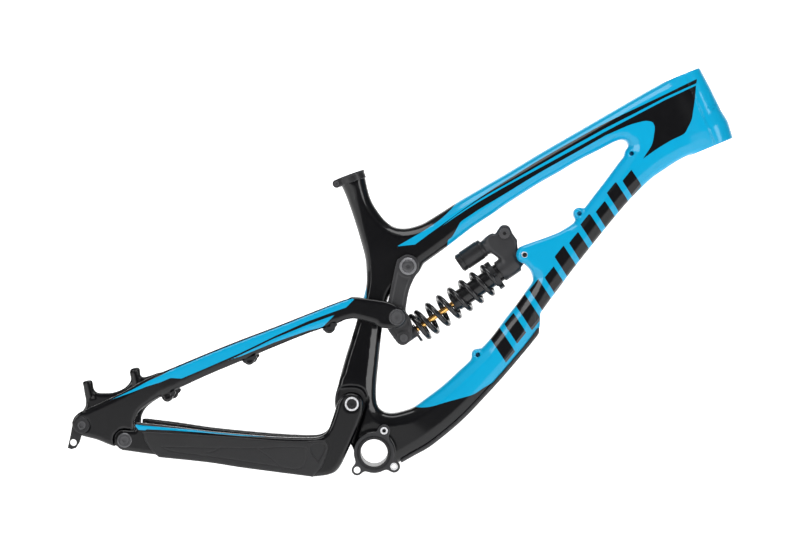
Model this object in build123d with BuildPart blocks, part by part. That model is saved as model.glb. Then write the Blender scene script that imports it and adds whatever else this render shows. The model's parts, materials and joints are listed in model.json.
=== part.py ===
"""Full-suspension mountain bike frame: carbon front triangle, four-bar rear end, coil shock.

Millimetres. The origin is the centre of the bottom bracket shell. +X points forwards, +Z up and
+Y to the rider's left, so the drive side is -Y. The shock is drawn fully extended.
"""

from build123d import *
import os
from math import atan2, cos, degrees, hypot, radians, sin

os.makedirs("parts", exist_ok=True)

# ---- pivots, (x, z) in the frame's middle plane --------------------------------------------------
ROCKER_PIVOT = (51.3, 281.0)
LINK_PIVOT = (34.6, 204.1)
SHOCK_LOWER = (44.9, 172.4)
SHOCK_UPPER = (227.8, 298.2)
MAIN_PIVOT = (-33.6, 73.5)
REAR_PIVOT = (-373.3, 20.6)
REAR_AXLE = (-437.1, 43.1)

# ---- standard interfaces -------------------------------------------------------------------------
BB_BORE_R = 20.5
BB_WIDTH = 107.0
BARREL_R, SLEEVE_R = 29.0, 24.0
SEATPOST_R = 15.8
SEAT_BORE_DEPTH = 130.0
BORE_START = 2.0
HEADSET_UPPER_R = 22.0
HEADSET_LOWER_R = 28.0
HUB_WIDTH = 157.0
AXLE_R = 6.0
CHAIN_GUIDE_R = 36.5
CHAIN_GUIDE_ANGLES = (65.5, -34.5, -134.5)

# ---- tube and plate sizes ------------------------------------------------------------------------
WALL = 3.5
MAST_HALF = 21.0
HOUSING_HALF = 30.0
LINK_IN, LINK_OUT = 22.3, 30.0
SEATSTAY_IN, SEATSTAY_OUT = 33.3, 44.0
CHAINSTAY_IN, CHAINSTAY_OUT = 31.0, 47.0
LUG_IN, LUG_OUT = 66.0, 76.5
PLATE_IN, PLATE_OUT = 77.0, 86.0
DROPOUT_OUT = 89.0
ROCKER_BOSS_R = 16.8
RUNNING = 0.05
GAP = 0.3
FAR = 700.0

# ---- shock ---------------------------------------------------------------------------------------
SHOCK_TILT = atan2(SHOCK_UPPER[1] - SHOCK_LOWER[1], SHOCK_UPPER[0] - SHOCK_LOWER[0])
SPRING_R, WIRE_R = 21.1, 3.9
SPRING_START, SPRING_END = 22.2, 163.0
DAMPER_R, DAMPER_BORE = 14.5, 12.0
DAMPER_START, DAMPER_END = 96.0, 194.0
SHAFT_R = 4.5
RESERVOIR_R, RESERVOIR_LIFT = 15.0, 44.8


def along_y(point, y=0.0):
    """Sketch plane at a pivot: local z along -Y, so extrusions go to the drive side first."""
    return Plane(origin=(point[0], y, point[1]), x_dir=(1, 0, 0), z_dir=(0, -1, 0))


def shock_plane(distance, lift=0.0):
    """Plane across the shock's axis, a distance up from the lower eye; local y lies in XZ."""
    axis = (cos(SHOCK_TILT), 0, sin(SHOCK_TILT))
    side = (-sin(SHOCK_TILT), 0, cos(SHOCK_TILT))
    x = SHOCK_LOWER[0] + distance * axis[0] + lift * side[0]
    z = SHOCK_LOWER[1] + distance * axis[2] + lift * side[2]
    return Plane(origin=(x, 0, z), x_dir=(0, -1, 0), z_dir=axis)


def station(upper, lower):
    """Plane across a tube whose outline passes through two points of the middle plane."""
    span = hypot(upper[0] - lower[0], upper[1] - lower[1])
    across = ((upper[0] - lower[0]) / span, 0, (upper[1] - lower[1]) / span)
    middle = ((upper[0] + lower[0]) / 2, 0, (upper[1] + lower[1]) / 2)
    return Plane(origin=middle, x_dir=across, z_dir=(across[2], 0, -across[0]))


def depth(upper, lower):
    return hypot(upper[0] - lower[0], upper[1] - lower[1])


def tube(stations, inset=0.0):
    """Solid tube through (upper point, lower point, width, corner radius) stations."""
    with BuildPart() as solid:
        for upper, lower, width, corner in stations:
            with BuildSketch(station(upper, lower)):
                RectangleRounded(depth(upper, lower) - 2 * inset, width - 2 * inset, corner - inset)
        loft(ruled=True)
    return solid.part


def band(first, second):
    """Flat face between two smooth edges that run the same way, closed by straight ends."""
    with BuildSketch() as face:
        with BuildLine():
            one = Spline(*first)
            two = Spline(*second)
            Line(one @ 0, two @ 0)
            Line(one @ 1, two @ 1)
        make_face()
    return face.sketch


def both_sides(outline):
    """Mirror a list of (x, y) points of the drive side to the other side."""
    return [(x, -y) for x, y in outline]


def ring(plane, outer, inner, length):
    """Plain ring or bush, its length running along the plane's normal."""
    with BuildPart() as piece:
        with BuildSketch(plane):
            Circle(outer)
            Circle(inner, mode=Mode.SUBTRACT)
        extrude(amount=length)
    return piece.part


def write(solid, name):
    solid.label = name
    export_step(solid, f"parts/{name}.step")


# ---- head tube: tapered, with pressed headset seats ----------------------------------------------
HEAD_TOP = (470.4, 573.3)
HEAD_LENGTH = 118.4
HEAD_PROFILE = ((0, 25.5), (-34, 28.8), (-72.6, 31.1), (-91, 34.2), (-104, 33.3), (-118.4, 31.7))
HEAD_TILT = radians(22.5)
head_plane = Plane(
    origin=(HEAD_TOP[0], 0, HEAD_TOP[1]), x_dir=(cos(HEAD_TILT), 0, sin(HEAD_TILT)), z_dir=(0, -1, 0)
)
head_axis = Axis(head_plane.origin, head_plane.y_dir)
head_foot = Plane(origin=head_plane.origin - head_plane.y_dir * HEAD_LENGTH, z_dir=-head_plane.y_dir)
SEAT_DEPTH = 11.0

with BuildPart() as head_blank:
    with BuildSketch(head_plane):
        with BuildLine():
            Polyline((0, 0), (HEAD_PROFILE[0][1], 0))
            Spline(*[(radius, height) for height, radius in HEAD_PROFILE])
            Polyline((HEAD_PROFILE[-1][1], -HEAD_LENGTH), (0, -HEAD_LENGTH), (0, 0))
        make_face()
    revolve(axis=head_axis)

with BuildPart() as head_tube:
    add(head_blank.part)
    with BuildSketch(head_plane):
        with BuildLine():
            Polyline(
                (0, 0),
                (HEADSET_UPPER_R, 0),
                (HEADSET_UPPER_R, -SEAT_DEPTH),
                (20, -SEAT_DEPTH),
                (25, SEAT_DEPTH - HEAD_LENGTH),
                (HEADSET_LOWER_R, SEAT_DEPTH - HEAD_LENGTH),
                (HEADSET_LOWER_R, -HEAD_LENGTH),
                (0, -HEAD_LENGTH),
                (0, 0),
            )
        make_face()
    revolve(axis=head_axis, mode=Mode.SUBTRACT)
write(head_tube.part, "head_tube")

# ---- down tube, with the shock bracket and the cable bosses --------------------------------------
DOWN_STATIONS = (
    ((462, 520), (502, 455), 52, 14),
    ((412, 480), (450, 436), 52, 14),
    ((366, 432), (398, 394), 54, 14),
    ((318, 368), (350, 339), 56, 14),
    ((275, 312), (307, 283), 58, 14),
    ((238, 256), (270, 233), 60, 14),
    ((200, 203), (237, 174), 62, 15),
    ((145, 138), (180, 101), 64, 16),
    ((80, 82), (114, 36), 64, 17),
    ((40, 62), (64, 0), 62, 18),
    ((14, 61), (30, -16), 60, 18),
)
BRACKET_HALF, BRACKET_SLOT, BRACKET_EYE = 24.0, 13.5, 17.0
CABLE_BOSSES = ((155, 145), (311, 359), (388, 449))
CABLE_BOSS_R = 9.0
CABLE_BOSS_HALF = 10.0
CABLE_SCREW_R, CABLE_HEAD_R = 2.5, 4.6
upper_x, upper_z = SHOCK_UPPER

with BuildPart() as down_tube:
    add(tube(DOWN_STATIONS))
    with BuildSketch(Plane.XZ) as bracket_side:
        with BuildLine():
            upper_edge = Spline((221, 308.3), (240, 317), (262, 325), (282, 333), (303, 348))
            lower_edge = Spline((218.5, 290), (227, 285.5), (236, 276), (240.5, 262), (237, 250))
            Line(upper_edge @ 1, (300, 290))
            Line((300, 290), lower_edge @ 1)
            Line(upper_edge @ 0, lower_edge @ 0)
        make_face()
        with Locations(SHOCK_UPPER):
            Circle(12)
    extrude(amount=BRACKET_HALF, both=True)
    with BuildSketch(Plane.XZ):
        with Locations(*CABLE_BOSSES):
            Circle(CABLE_BOSS_R)
    extrude(amount=CABLE_BOSS_HALF, both=True)
    add(tube(DOWN_STATIONS, WALL), mode=Mode.SUBTRACT)
    with BuildSketch(Plane.XZ):
        with Locations(SHOCK_UPPER):
            Circle(BRACKET_EYE)
        with Locations((upper_x - BRACKET_EYE, upper_z)):
            Rectangle(2 * BRACKET_EYE, 2 * BRACKET_EYE)
    extrude(amount=BRACKET_SLOT, both=True, mode=Mode.SUBTRACT)
    with BuildSketch(Plane.XZ):
        with Locations(SHOCK_UPPER):
            Circle(4)
        with Locations(*CABLE_BOSSES):
            Circle(CABLE_SCREW_R)
    extrude(amount=40, both=True, mode=Mode.SUBTRACT)
    with BuildSketch(Plane.XZ.offset(CABLE_BOSS_HALF)):
        with Locations(*CABLE_BOSSES):
            Circle(CABLE_HEAD_R)
    extrude(amount=FAR, mode=Mode.SUBTRACT)
    add(head_blank.part, mode=Mode.SUBTRACT)
    with BuildSketch(head_foot):
        Circle(HEAD_PROFILE[-1][1])
    extrude(amount=FAR, mode=Mode.SUBTRACT)
    with BuildSketch(Plane.XZ):
        Circle(BARREL_R)
    extrude(amount=40, both=True, mode=Mode.SUBTRACT)
down_solid = down_tube.part.solids().sort_by(SortBy.VOLUME)[-1]
write(Part(down_solid.wrapped), "down_tube")

# ---- cable clamp screws --------------------------------------------------------------------------
with BuildPart() as cable_clamp_screws:
    for boss in CABLE_BOSSES:
        with BuildSketch(along_y(boss, -CABLE_BOSS_HALF)):
            Circle(CABLE_HEAD_R - 0.1)
        extrude(amount=2.5)
        with BuildSketch(along_y(boss, -CABLE_BOSS_HALF)):
            Circle(CABLE_SCREW_R)
        extrude(amount=-2 * CABLE_BOSS_HALF)
        with BuildSketch(along_y(boss, -12.5)):
            RegularPolygon(1.6, 6)
        extrude(amount=-1.8, mode=Mode.SUBTRACT)
write(cable_clamp_screws.part, "cable_clamp_screws")

# ---- top tube ------------------------------------------------------------------------------------
TOP_STATIONS = (
    ((24, 345), (42, 284), 40, 12),
    ((62, 343), (88, 292), 42, 12),
    ((125, 378), (149, 340), 44, 12),
    ((200, 422), (222, 389), 44, 12),
    ((275, 466), (297, 434), 46, 12),
    ((350, 510), (368, 472), 48, 13),
    ((400, 539), (428, 478), 50, 14),
    ((449, 563), (484, 488), 52, 14),
)
with BuildPart() as top_tube:
    add(tube(TOP_STATIONS))
    add(tube(TOP_STATIONS, WALL), mode=Mode.SUBTRACT)
    add(head_blank.part, mode=Mode.SUBTRACT)
    add(tube(DOWN_STATIONS), mode=Mode.SUBTRACT)
    with BuildSketch(Plane.XZ):
        with Locations(ROCKER_PIVOT):
            Circle(ROCKER_BOSS_R)
    extrude(amount=FAR, both=True, mode=Mode.SUBTRACT)
top_solid = top_tube.part.solids().sort_by(SortBy.VOLUME)[-1]

# ---- seat tube, with the rocker pivot boss -------------------------------------------------------
SEAT_TOP = (-36.0, 420.0)
SEAT_TILT = radians(20.0)
seat_up = (-sin(SEAT_TILT), 0, cos(SEAT_TILT))
seat_across = (cos(SEAT_TILT), 0, sin(SEAT_TILT))
seat_plane = Plane(origin=(SEAT_TOP[0], 0, SEAT_TOP[1]), x_dir=seat_across, z_dir=seat_up)
SEAT_STATIONS = (
    ((-52.9, 413.8), (-19.1, 426.2), 36, 17.5),
    ((-45, 394), (-10, 402), 36, 17),
    ((-38, 375), (1, 378), 37, 16),
    ((-28, 345), (20, 344), 38, 14),
    ((-17, 308), (40, 306), 40, 13),
    ((-12, 275), (44, 268), 42, 13),
    ((-14, 240), (23, 236), 42, 13),
    ((-26, 200), (12, 192), 42, 13),
    ((-43, 145), (8, 143), 48, 14),
    ((-53, 108), (5, 108), 54, 15),
)
BEARING_R, BEARING_BORE, BEARING_WIDTH = 14.0, 7.5, 7.0
with BuildPart() as seat_tube:
    add(tube(SEAT_STATIONS))
    add(tube(SEAT_STATIONS, WALL), mode=Mode.SUBTRACT)
    with BuildSketch(Plane.XZ):
        with Locations(ROCKER_PIVOT):
            Circle(ROCKER_BOSS_R)
        with Locations((39, 283)):
            Rectangle(24, 33)
    extrude(amount=MAST_HALF, both=True)
    with BuildSketch(seat_plane.offset(BORE_START)):
        Circle(SEATPOST_R)
    extrude(amount=-SEAT_BORE_DEPTH - BORE_START, mode=Mode.SUBTRACT)
    with BuildSketch(seat_plane):
        with Locations((-SEATPOST_R, 0)):
            Rectangle(8, 2.5)
    extrude(amount=-35, mode=Mode.SUBTRACT)
    with BuildSketch(Plane.XZ):
        with Locations(ROCKER_PIVOT):
            Circle(BEARING_R)
    extrude(amount=MAST_HALF, both=True, mode=Mode.SUBTRACT)
    add(top_solid, mode=Mode.SUBTRACT)
    add(tube(TOP_STATIONS, WALL), mode=Mode.SUBTRACT)
seat_solid = seat_tube.part.solids().sort_by(SortBy.VOLUME)[-1]
write(Part(seat_solid.wrapped), "seat_tube")
write(Part(top_solid.wrapped), "top_tube")

# ---- main pivot housing and bottom bracket -------------------------------------------------------
MAIN_BEARING_R, MAIN_AXLE_R = 15.0, 8.5
HOUSING_OUTLINE_REAR = ((-53.5, 108), (-58, 92), (-59, 72), (-54, 45), (-46, 20), (-38, 0), (-28, -14))
HOUSING_OUTLINE_FRONT = ((5, 108), (4, 88), (6, 72), (14, 61), (22, 22), (26, 2), (22, -18))
GUIDE_FACE = 45.0
with BuildPart() as pivot_housing:
    with BuildSketch(Plane.XZ):
        add(band(HOUSING_OUTLINE_REAR, HOUSING_OUTLINE_FRONT))
    extrude(amount=HOUSING_HALF, both=True)
    with BuildSketch(Plane.XZ):
        with Locations((-28, 60)):
            Rectangle(34, 80)
    extrude(amount=HOUSING_HALF - 2 * WALL, both=True, mode=Mode.SUBTRACT)
    with BuildSketch(Plane.XZ):
        Circle(BARREL_R)
        with Locations(MAIN_PIVOT):
            Circle(MAIN_BEARING_R + 4)
    extrude(amount=HOUSING_HALF, both=True)
    with BuildSketch(Plane.XZ):
        Circle(BARREL_R)
    extrude(amount=GUIDE_FACE)
    with BuildSketch(Plane.XZ):
        Circle(BARREL_R)
    extrude(amount=-BB_WIDTH / 2)
    with BuildSketch(Plane.XZ):
        Circle(SLEEVE_R)
        with Locations(MAIN_PIVOT):
            Circle(MAIN_BEARING_R)
    extrude(amount=FAR, both=True, mode=Mode.SUBTRACT)
    add(tube(SEAT_STATIONS), mode=Mode.SUBTRACT)
    add(tube(DOWN_STATIONS), mode=Mode.SUBTRACT)
housing_solid = pivot_housing.part.solids().sort_by(SortBy.VOLUME)[-1]
write(Part(housing_solid.wrapped), "pivot_housing")

write(ring(along_y((0, 0), BB_WIDTH / 2), SLEEVE_R, BB_BORE_R, BB_WIDTH), "bb_sleeve")

# ---- chain guide plate on the drive side of the bottom bracket -----------------------------------
GUIDE_THICK = 5.0
guide_holes = [
    (CHAIN_GUIDE_R * cos(radians(angle)), CHAIN_GUIDE_R * sin(radians(angle)))
    for angle in CHAIN_GUIDE_ANGLES
]
with BuildPart() as chain_guide_plate:
    with BuildSketch(Plane.XZ.offset(GUIDE_FACE)):
        Circle(30.5)
        with Locations(*guide_holes):
            Circle(8.3)
        for angle in CHAIN_GUIDE_ANGLES:
            with Locations(Location((0, 0, 0), (0, 0, angle))):
                with Locations((CHAIN_GUIDE_R / 2, 0)):
                    Rectangle(CHAIN_GUIDE_R, 16.6)
        Circle(SLEEVE_R, mode=Mode.SUBTRACT)
        with Locations(*guide_holes[:2]):
            Circle(5.6, mode=Mode.SUBTRACT)
        with Locations(guide_holes[2]):
            Circle(5.0, mode=Mode.SUBTRACT)
    extrude(amount=GUIDE_THICK)
write(chain_guide_plate.part, "chain_guide_plate")

with BuildPart() as chain_guide_inserts:
    with BuildSketch(Plane.XZ.offset(GUIDE_FACE - 3)):
        with Locations(*guide_holes[:2]):
            Circle(5.6)
            Circle(3.0, mode=Mode.SUBTRACT)
    extrude(amount=GUIDE_THICK + 3.6)
write(chain_guide_inserts.part, "chain_guide_inserts")

# ---- seat clamp ----------------------------------------------------------------------------------
CLAMP_HEIGHT = 12.0
CLAMP_BOLT = (-24.5, -5.5)
with BuildPart() as seat_clamp_collar:
    with BuildSketch(seat_plane.offset(0.5)):
        Circle(21)
        with Locations((-22, 0)):
            Rectangle(14, 15)
        Circle(18.6, mode=Mode.SUBTRACT)
        with Locations((-25, 0)):
            Rectangle(20, 2.5, mode=Mode.SUBTRACT)
    extrude(amount=-CLAMP_HEIGHT)
    with BuildSketch(Plane(seat_plane.origin, x_dir=seat_plane.x_dir, z_dir=(0, -1, 0))):
        with Locations(CLAMP_BOLT):
            Circle(2.5)
    extrude(amount=20, both=True, mode=Mode.SUBTRACT)
write(seat_clamp_collar.part, "seat_clamp_collar")

bolt_spot = seat_plane.origin + seat_plane.x_dir * CLAMP_BOLT[0] + seat_plane.z_dir * CLAMP_BOLT[1]
with BuildPart() as seat_clamp_bolt:
    with BuildSketch(along_y((bolt_spot.X, bolt_spot.Z), 9)):
        Circle(2.5)
    extrude(amount=16.6)
    with BuildSketch(along_y((bolt_spot.X, bolt_spot.Z), -7.6)):
        Circle(4)
        RegularPolygon(2, 6, mode=Mode.SUBTRACT)
    extrude(amount=3)
write(seat_clamp_bolt.part, "seat_clamp_bolt")

# ---- down tube guard: a rubber skin along the lower part of the tube -----------------------------
GUARD_HALF, GUARD_INNER_HALF = 35.5, 32.3
GUARD_WRAP = 14.0
GUARD_OUTER = (
    (250, 184), (240, 168), (222, 146), (200, 120), (180, 97), (160, 75), (140, 54),
    (120, 36), (100, 20), (80, 5), (60, -6), (40, -16),
)
TUBE_UNDERSIDE = tuple(lower for upper, lower, width, radius in DOWN_STATIONS[3:])
GUARD_GAP = 0.3
GUARD_CLEAR_R = 31.5
with BuildPart() as down_tube_guard:
    with BuildSketch(Plane.XZ):
        with BuildLine():
            outer_line = Spline(*GUARD_OUTER)
            inner_line = Spline(*[(x - GUARD_WRAP, z + GUARD_WRAP) for x, z in GUARD_OUTER])
            Line(outer_line @ 0, inner_line @ 0)
            Line(outer_line @ 1, inner_line @ 1)
        make_face()
        Circle(GUARD_CLEAR_R, mode=Mode.SUBTRACT)
    extrude(amount=GUARD_HALF, both=True)
    with BuildSketch(Plane.XZ):
        with BuildLine():
            underside = [(x + GUARD_GAP, z - GUARD_GAP) for x, z in TUBE_UNDERSIDE]
            back, front = underside[-1][1], underside[0][0]
            Polyline(*underside, (-FAR, back), (-FAR, FAR), (front, FAR), underside[0])
        make_face()
    extrude(amount=GUARD_INNER_HALF, both=True, mode=Mode.SUBTRACT)
write(down_tube_guard.part, "down_tube_guard")

# ---- bearings and axles of the main and rocker pivots --------------------------------------------
with BuildPart() as main_pivot_bearings:
    with BuildSketch(along_y(MAIN_PIVOT, HOUSING_HALF)):
        Circle(MAIN_BEARING_R)
        Circle(MAIN_AXLE_R + RUNNING, mode=Mode.SUBTRACT)
    extrude(amount=BEARING_WIDTH)
    mirror(about=Plane.XZ)
write(main_pivot_bearings.part, "main_pivot_bearings")

with BuildPart() as rocker_pivot_bearings:
    with BuildSketch(along_y(ROCKER_PIVOT, MAST_HALF)):
        Circle(BEARING_R)
        Circle(BEARING_BORE + RUNNING, mode=Mode.SUBTRACT)
    extrude(amount=BEARING_WIDTH)
    mirror(about=Plane.XZ)
write(rocker_pivot_bearings.part, "rocker_pivot_bearings")

with BuildPart() as upper_shock_bolt:
    with BuildSketch(along_y(SHOCK_UPPER, BRACKET_HALF)):
        Circle(4)
    extrude(amount=2 * BRACKET_HALF)
    with BuildSketch(along_y(SHOCK_UPPER, -BRACKET_HALF)):
        Circle(6.5)
        RegularPolygon(3, 6, mode=Mode.SUBTRACT)
    extrude(amount=2)
    with BuildSketch(along_y(SHOCK_UPPER, BRACKET_HALF)):
        Circle(6.5)
    extrude(amount=-2)
write(upper_shock_bolt.part, "upper_shock_bolt")

# ---- chainstay: two arms, a yoke behind the bottom bracket and uprights to the main pivot --------
STAY_TOP = ((-356, 47), (-300, 41), (-250, 34), (-200, 29), (-150, 25), (-100, 23), (-60, 24))
STAY_BOTTOM = ((-356, 3), (-330, 0), (-250, -9), (-200, -17), (-150, -25), (-100, -32), (-60, -34))
UPRIGHT_REAR = ((-92, 23), (-76, 27), (-66, 42), (-59, 62), (-53, 80))
UPRIGHT_FRONT = ((-92, -35), (-70, -34), (-57, -27), (-47, -12), (-33, 17), (-21, 46), (-16, 66))
STAY_PLAN = (
    (-5, 31), (-62, 31), (-95, 38), (-150, 48), (-300, 66), (-362, 70),
    (-362, 85), (-300, 81), (-150, 63), (-95, 52), (-62, 47), (-5, 47),
)
YOKE = ((-72, -30), (-60, -27), (-50, -12), (-47, 2), (-54, 15), (-68, 17), (-74, 0))
with BuildPart() as chainstay:
    with BuildSketch(Plane.XZ):
        add(band(STAY_TOP, STAY_BOTTOM))
        add(band(UPRIGHT_REAR, UPRIGHT_FRONT))
        with Locations(MAIN_PIVOT):
            Circle(17)
    extrude(amount=PLATE_OUT, both=True)
    with BuildSketch(Plane.XY):
        with BuildLine():
            Polyline(*STAY_PLAN, STAY_PLAN[0])
        make_face()
        with BuildLine():
            Polyline(*both_sides(STAY_PLAN), both_sides(STAY_PLAN)[0])
        make_face()
    extrude(amount=FAR, both=True, mode=Mode.INTERSECT)
    # yoke between the arms
    with BuildSketch(Plane.XZ):
        with BuildLine():
            Polyline(*YOKE, YOKE[0])
        make_face()
    extrude(amount=CHAINSTAY_IN + 8, both=True)
    # clevis plates outside the seatstay lugs, and room for the lugs
    with BuildSketch(Plane.XZ):
        with Locations(REAR_PIVOT):
            Circle(15)
        with Locations((-359, 20)):
            Rectangle(28, 30)
    extrude(amount=PLATE_OUT, both=True)
    with BuildSketch(Plane.XZ):
        with Locations((-377, 20.6)):
            Rectangle(48, 70)
    extrude(amount=PLATE_IN, both=True, mode=Mode.SUBTRACT)
    with BuildSketch(Plane.XZ):
        with Locations((-360, 20)):
            Rectangle(50, 90)
    extrude(amount=66, both=True, mode=Mode.SUBTRACT)
    with BuildSketch(Plane.XZ):
        with Locations(MAIN_PIVOT):
            Circle(MAIN_AXLE_R)
        with Locations(REAR_PIVOT):
            Circle(5)
    extrude(amount=FAR, both=True, mode=Mode.SUBTRACT)
write(chainstay.part, "chainstay")

# ---- chainstay guard on the drive side -----------------------------------------------------------
GUARD_TOP = ((-344, 33), (-200, 24.5), (-150, 20), (-110, 18), (-74, 20))
GUARD_BOTTOM = ((-322, -4.5), (-200, -21), (-150, -28), (-110, -34), (-92, -36.5))
GUARD_PLAN = (
    (-66, -47.3), (-95, -52.3), (-150, -63.3), (-300, -81.3), (-345, -84.2),
    (-345, -87.2), (-300, -84.5), (-150, -66.5), (-95, -55.5), (-66, -50.3),
)
with BuildPart() as chainstay_guard:
    with BuildSketch(Plane.XZ):
        add(band(GUARD_TOP, GUARD_BOTTOM))
    extrude(amount=FAR)
    with BuildSketch(Plane.XY):
        with BuildLine():
            Polyline(*GUARD_PLAN, GUARD_PLAN[0])
        make_face()
    extrude(amount=FAR, both=True, mode=Mode.INTERSECT)
    with BuildSketch(Plane.XZ):
        with Locations(REAR_PIVOT):
            Circle(17)
    extrude(amount=FAR, mode=Mode.SUBTRACT)
guard_piece = chainstay_guard.part.cut(chainstay.part)
write(Part(guard_piece.solids().sort_by(SortBy.VOLUME)[-1].wrapped), "chainstay_guard")

with BuildPart() as main_pivot_axle:
    with BuildSketch(along_y(MAIN_PIVOT, CHAINSTAY_OUT)):
        Circle(MAIN_AXLE_R)
        Circle(6, mode=Mode.SUBTRACT)
    extrude(amount=2 * CHAINSTAY_OUT)
    with BuildSketch(along_y(MAIN_PIVOT, -CHAINSTAY_OUT)):
        Circle(10.5)
        Circle(8, mode=Mode.SUBTRACT)
    extrude(amount=1.5)
    with BuildSketch(along_y(MAIN_PIVOT, -CHAINSTAY_OUT)):
        Circle(8.2)
        RegularPolygon(5, 6, mode=Mode.SUBTRACT)
    extrude(amount=0.8)
    with BuildSketch(along_y(MAIN_PIVOT, CHAINSTAY_OUT)):
        Circle(10.5)
    extrude(amount=-1.5)
write(main_pivot_axle.part, "main_pivot_axle")

with BuildPart() as rear_pivot_bolts:
    with BuildSketch(along_y(REAR_PIVOT, -LUG_IN)):
        Circle(5)
    extrude(amount=PLATE_OUT - LUG_IN)
    with BuildSketch(along_y(REAR_PIVOT, -PLATE_OUT)):
        Circle(11)
        RegularPolygon(3.5, 6, mode=Mode.SUBTRACT)
    extrude(amount=2)
    mirror(about=Plane.XZ)
write(rear_pivot_bolts.part, "rear_pivot_bolts")

# ---- seatstay: two arms, front bridge, dropouts and brake posts ----------------------------------
SEATSTAY_UPPER = (
    (44, 217), (35, 222), (20, 227.5), (0, 231), (-20, 234), (-40, 233), (-60, 226), (-100, 212),
    (-200, 171), (-300, 130), (-360, 101), (-400, 82), (-434, 66),
)
SEATSTAY_LOWER = (
    (41, 190), (30, 189), (12, 188), (-5, 194), (-25, 200), (-45, 199), (-62, 192), (-100, 179),
    (-200, 138), (-300, 94), (-345, 70), (-365, 50), (-385, 30),
)
ARM_PLAN = (
    (60, 33.3), (-40, 33.3), (-100, 39), (-200, 50), (-300, 60), (-360, 66), (-400, 70), (-418, 78.5),
    (-460, 78.5), (-460, 89), (-420, 89), (-394, 76.3), (-300, 74), (-200, 63), (-100, 51), (-40, 44),
    (60, 44),
)
POST_AXIS = (-0.22, 0.975)
POST_TOPS = ((-442.2, 104.0), (-369.8, 119.3))
POST_WIDTH = 13.5
POST_IN, POST_OUT = 68.0, 82.0
POST_HOLE_R, POST_HOLE_DEPTH = 2.5, 14.0
WEB_UPPER = ((-444, 66), (-441, 88), (-428, 88), (-414, 86.5), (-398, 88), (-384, 95), (-374, 106))
HANGER_OUTLINE = ((-451, 46), (-455, 24), (-458.5, 9), (-453, 7), (-446, 9), (-440.5, 18), (-436, 34))
HANGER_OUT = 84.0
HANGER_HOLE = (-450.0, 17.0)

with BuildPart() as seatstay:
    with BuildSketch(Plane.XZ):
        add(band(SEATSTAY_UPPER, SEATSTAY_LOWER))
        with Locations(LINK_PIVOT):
            Circle(15)
        with Locations(REAR_AXLE):
            Circle(15)
        with Locations(REAR_PIVOT):
            Circle(15)
        with BuildLine():
            Polyline(
                (-447, 55), (-434, 66), (-400, 82), (-372, 90), (-357, 45), (-363, 10),
                (-378, 6), (-400, 15), (-430, 26), (-441, 28.5), (-447, 55),
            )
        make_face()
    extrude(amount=DROPOUT_OUT, both=True)
    with BuildSketch(Plane.XY):
        with BuildLine():
            Polyline(*ARM_PLAN, ARM_PLAN[0])
        make_face()
        with BuildLine():
            Polyline(*both_sides(ARM_PLAN), both_sides(ARM_PLAN)[0])
        make_face()
    extrude(amount=FAR, both=True, mode=Mode.INTERSECT)
    # bridge ahead of the tyre
    with BuildSketch(Plane.XZ):
        with Locations((-97, 200)):
            Ellipse(8, 10, rotation=20)
    extrude(amount=41, both=True)
    # brake posts and their web on the left side
    with BuildSketch(Plane.XZ.offset(-POST_IN)):
        with BuildLine():
            web_top = Spline(*WEB_UPPER)
            Polyline(web_top @ 1, (-352, 106), (-370, 80), (-436, 58), web_top @ 0)
        make_face()
    extrude(amount=POST_IN - POST_OUT)
    for top in POST_TOPS:
        post_plane = Plane(
            origin=(top[0], (POST_IN + POST_OUT) / 2, top[1]),
            x_dir=(POST_AXIS[1], 0, -POST_AXIS[0]),
            z_dir=(POST_AXIS[0], 0, POST_AXIS[1]),
        )
        with BuildSketch(post_plane):
            RectangleRounded(POST_WIDTH, POST_OUT - POST_IN, 4)
        extrude(amount=-32 if top == POST_TOPS[0] else -22)
    for top in POST_TOPS:
        post_plane = Plane(
            origin=(top[0], (POST_IN + POST_OUT) / 2, top[1]),
            x_dir=(POST_AXIS[1], 0, -POST_AXIS[0]),
            z_dir=(POST_AXIS[0], 0, POST_AXIS[1]),
        )
        with BuildSketch(post_plane):
            Circle(POST_HOLE_R)
        extrude(amount=-POST_HOLE_DEPTH, mode=Mode.SUBTRACT)
    # recess for the hanger, and the bores
    with BuildSketch(Plane.XZ):
        with BuildLine():
            Polyline(*HANGER_OUTLINE, (-433, 56), (-445, 56), HANGER_OUTLINE[0])
        make_face()
    extrude(amount=HANGER_OUT, mode=Mode.SUBTRACT)
    with BuildSketch(Plane.XZ):
        with Locations(LINK_PIVOT):
            Circle(8)
        with Locations(REAR_AXLE):
            Circle(AXLE_R)
        with Locations(REAR_PIVOT):
            Circle(9.5)
    extrude(amount=FAR, both=True, mode=Mode.SUBTRACT)
write(seatstay.part, "seatstay")

with BuildPart() as rear_pivot_bearings:
    with BuildSketch(along_y(REAR_PIVOT, -LUG_IN - 1)):
        Circle(9.5)
        Circle(5 + RUNNING, mode=Mode.SUBTRACT)
    extrude(amount=LUG_OUT - LUG_IN - 1)
    mirror(about=Plane.XZ)
write(rear_pivot_bearings.part, "rear_pivot_bearings")

with BuildPart() as derailleur_hanger:
    with BuildSketch(Plane.XZ.offset(HUB_WIDTH / 2)):
        with BuildLine():
            Polyline(*HANGER_OUTLINE, (-433, 56), (-445, 56), HANGER_OUTLINE[0])
        make_face()
        with Locations(HANGER_HOLE):
            Circle(5, mode=Mode.SUBTRACT)
        with Locations(REAR_AXLE):
            Circle(AXLE_R, mode=Mode.SUBTRACT)
    extrude(amount=HANGER_OUT - HUB_WIDTH / 2)
write(derailleur_hanger.part, "derailleur_hanger")

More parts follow.
